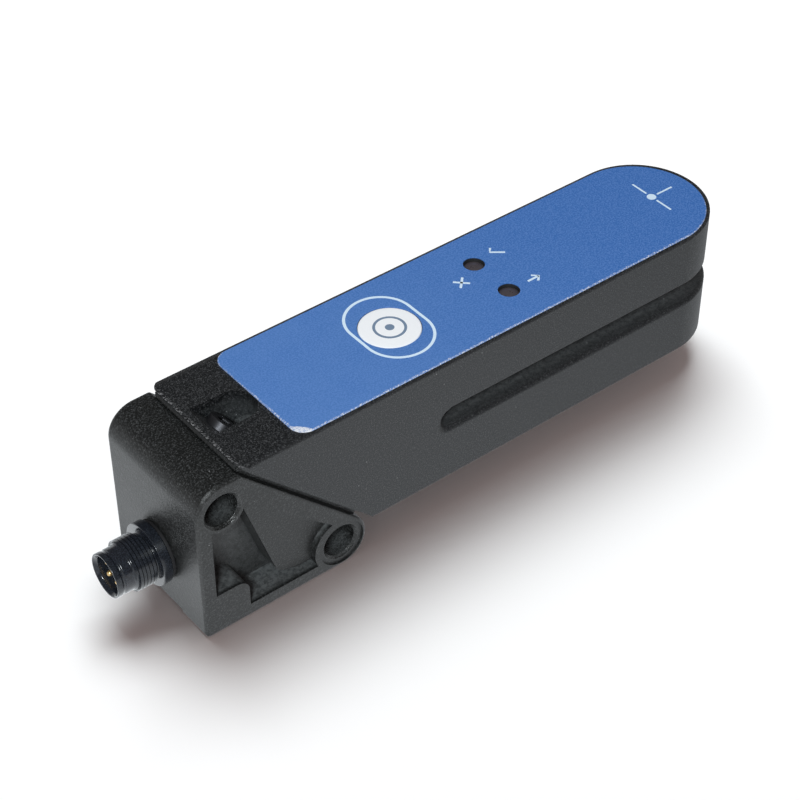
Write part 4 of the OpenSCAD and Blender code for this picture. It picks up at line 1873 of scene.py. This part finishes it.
@dataclass
class Studio:
    """Floor, lamps, world and camera."""

    camera_at: Place = (-143.43, -177.22, 210.09)
    camera_way: Place = (0.46778, 0.59172, -0.65654)
    camera_roll: float = -0.08
    lens: float = 90.75
    horizon_fill: float = 0.85
    ceiling_fill: float = 0.22
    ceiling_seen: float = 0.10
    fill_colour: Colour = (1.0, 0.80, 0.77)
    floor_half: float = 3.0
    floor_drop: float = 0.02 * MM
    floor_colour: Colour = (0.97, 0.97, 0.97)
    floor_seen: Colour = (0.86, 0.90, 0.93)
    floor_level: float = 0.84
    # Painted reflection in the floor's gloss sheet: its rise behind the back face and its dips from the foot
    # on and towards the tip.
    reflection_glow_behind: float = 1.1
    reflection_glow_behind_over: Point = (-0.064, -0.0575)
    reflection_dim_at_foot: float = 0.88
    reflection_dim_at_foot_over: Point = (-0.0555, -0.046)
    reflection_dim_at_tip: float = 0.48
    reflection_dim_at_tip_over: Point = (-0.02, 0.14)
    fill_over: Point = (0.05, 0.50)
    seen_over: Point = (0.0, 0.22)

    def build(self) -> None:
        """Set the scene up."""
        bpy.context.scene.view_settings.view_transform = "Standard"
        floor = self.floor()
        self.world()
        for lamp in LAMPS:
            lamp.build(floor)
        self.camera()

    def floor(self) -> bpy.types.Object:
        """Lay the pale floor, which gloss shows as a bright sheet; the sheet is painted reflection, brightest
        behind the back face and dimmer from the foot on and towards the tip.

        Returns:
            The floor.
        """
        h = self.floor_half
        form = bmesh.new()
        ends = ((-h, -h), (h, -h), (h, h), (-h, h))
        form.faces.new([form.verts.new((x, y, -self.floor_drop)) for x, y in ends])
        graph = ShaderGraph("studio_floor")
        glossy = graph.add("ShaderNodeLightPath", output="Is Glossy Ray")
        x, _, _ = graph.axes(graph.place())
        # Painted reflection: the sheet seen in gloss is brighter behind the back face and dimmer from the
        # foot on and towards the tip.
        painted_reflection_glow = x.ramp(*self.reflection_glow_behind_over) * self.reflection_glow_behind - x.ramp(*self.reflection_dim_at_foot_over) * self.reflection_dim_at_foot
        level = self.floor_level + painted_reflection_glow - x.ramp(*self.reflection_dim_at_tip_over) * self.reflection_dim_at_tip
        lit = graph.add("ShaderNodeBsdfDiffuse", None, {"Color": rgba(self.floor_colour)})
        sheet = graph.add("ShaderNodeEmission", None, {"Color": rgba(self.floor_seen), "Strength": level})
        graph.add_output(graph.add("ShaderNodeMixShader", None, {0: glossy, 1: lit, 2: sheet}))
        graph.material.cycles.emission_sampling = "NONE"
        piece = shown("studio_floor", mesh_of(form, "studio_floor", graph.material))
        return piece

    def world(self) -> None:
        """Surround the scene with a white horizon under a dim ceiling, its fill slightly warm."""
        world = bpy.data.worlds.new("studio_world")
        world.use_nodes = True
        bpy.context.scene.world = world
        graph = Graph(world.node_tree)
        _, _, up = graph.axes(graph.add("ShaderNodeTexCoord", output="Generated"))
        seen = graph.seen_ray()
        lit = self.horizon_fill + up.ramp(*self.fill_over) * (self.ceiling_fill - self.horizon_fill)
        sheet = 1.0 + up.ramp(*self.seen_over) * (self.ceiling_seen - 1.0)
        strength = lit + seen * (sheet - lit)
        tone = graph.mix(seen, self.fill_colour, (1.0, 1.0, 1.0))
        sky = graph.add("ShaderNodeBackground", None, {"Color": tone, "Strength": strength})
        leave = graph.tree.nodes.new("ShaderNodeOutputWorld")
        graph.feed(leave.inputs["Surface"], sky)

    def camera(self) -> None:
        """Place the camera at the photograph's viewpoint."""
        data = bpy.data.cameras.new("studio_camera")
        data.sensor_width = 36.0
        data.lens = self.lens
        data.clip_start = 0.01
        data.clip_end = 20.0
        camera = shown("studio_camera", data)
        camera.location = Vector(self.camera_at) * MM
        aim = Vector(self.camera_way).to_track_quat("-Z", "Y")
        roll = Matrix.Rotation(math.radians(self.camera_roll), 4, "Z")
        camera.rotation_mode = "QUATERNION"
        camera.rotation_quaternion = (aim.to_matrix().to_4x4() @ roll).to_quaternion()
        bpy.context.scene.camera = camera


def dress_nodes() -> None:
    """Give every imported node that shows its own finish."""
    for dress in CAD_DRESS:
        node = frame["nodes"][dress.node]
        node.data.materials.clear()
        node.data.materials.append(dress.finish.material())
        log.info("%s: dressed in %s", dress.node, dress.finish.name)


def main() -> None:
    """Build the pieces in order."""
    logging.basicConfig(level=logging.INFO, format="%(name)s: %(message)s")
    dress_nodes()
    parts = (
        Casting("fork_housing", "housing_casting", "housing_black", HOUSING_COAT, HOUSING_EDGE),
        Casting("rear_head", "head_casting", "head_black", HEAD_COAT, HEAD_EDGE),
        Keypad(),
        TeachKey(),
        LampWindow("lamp_window_far"),
        LampWindow("lamp_window_near"),
        RoundConnector(),
        Fasteners(),
        Studio(),
    )
    for part in parts:
        part.build()


if __name__ == "__main__":
    main()
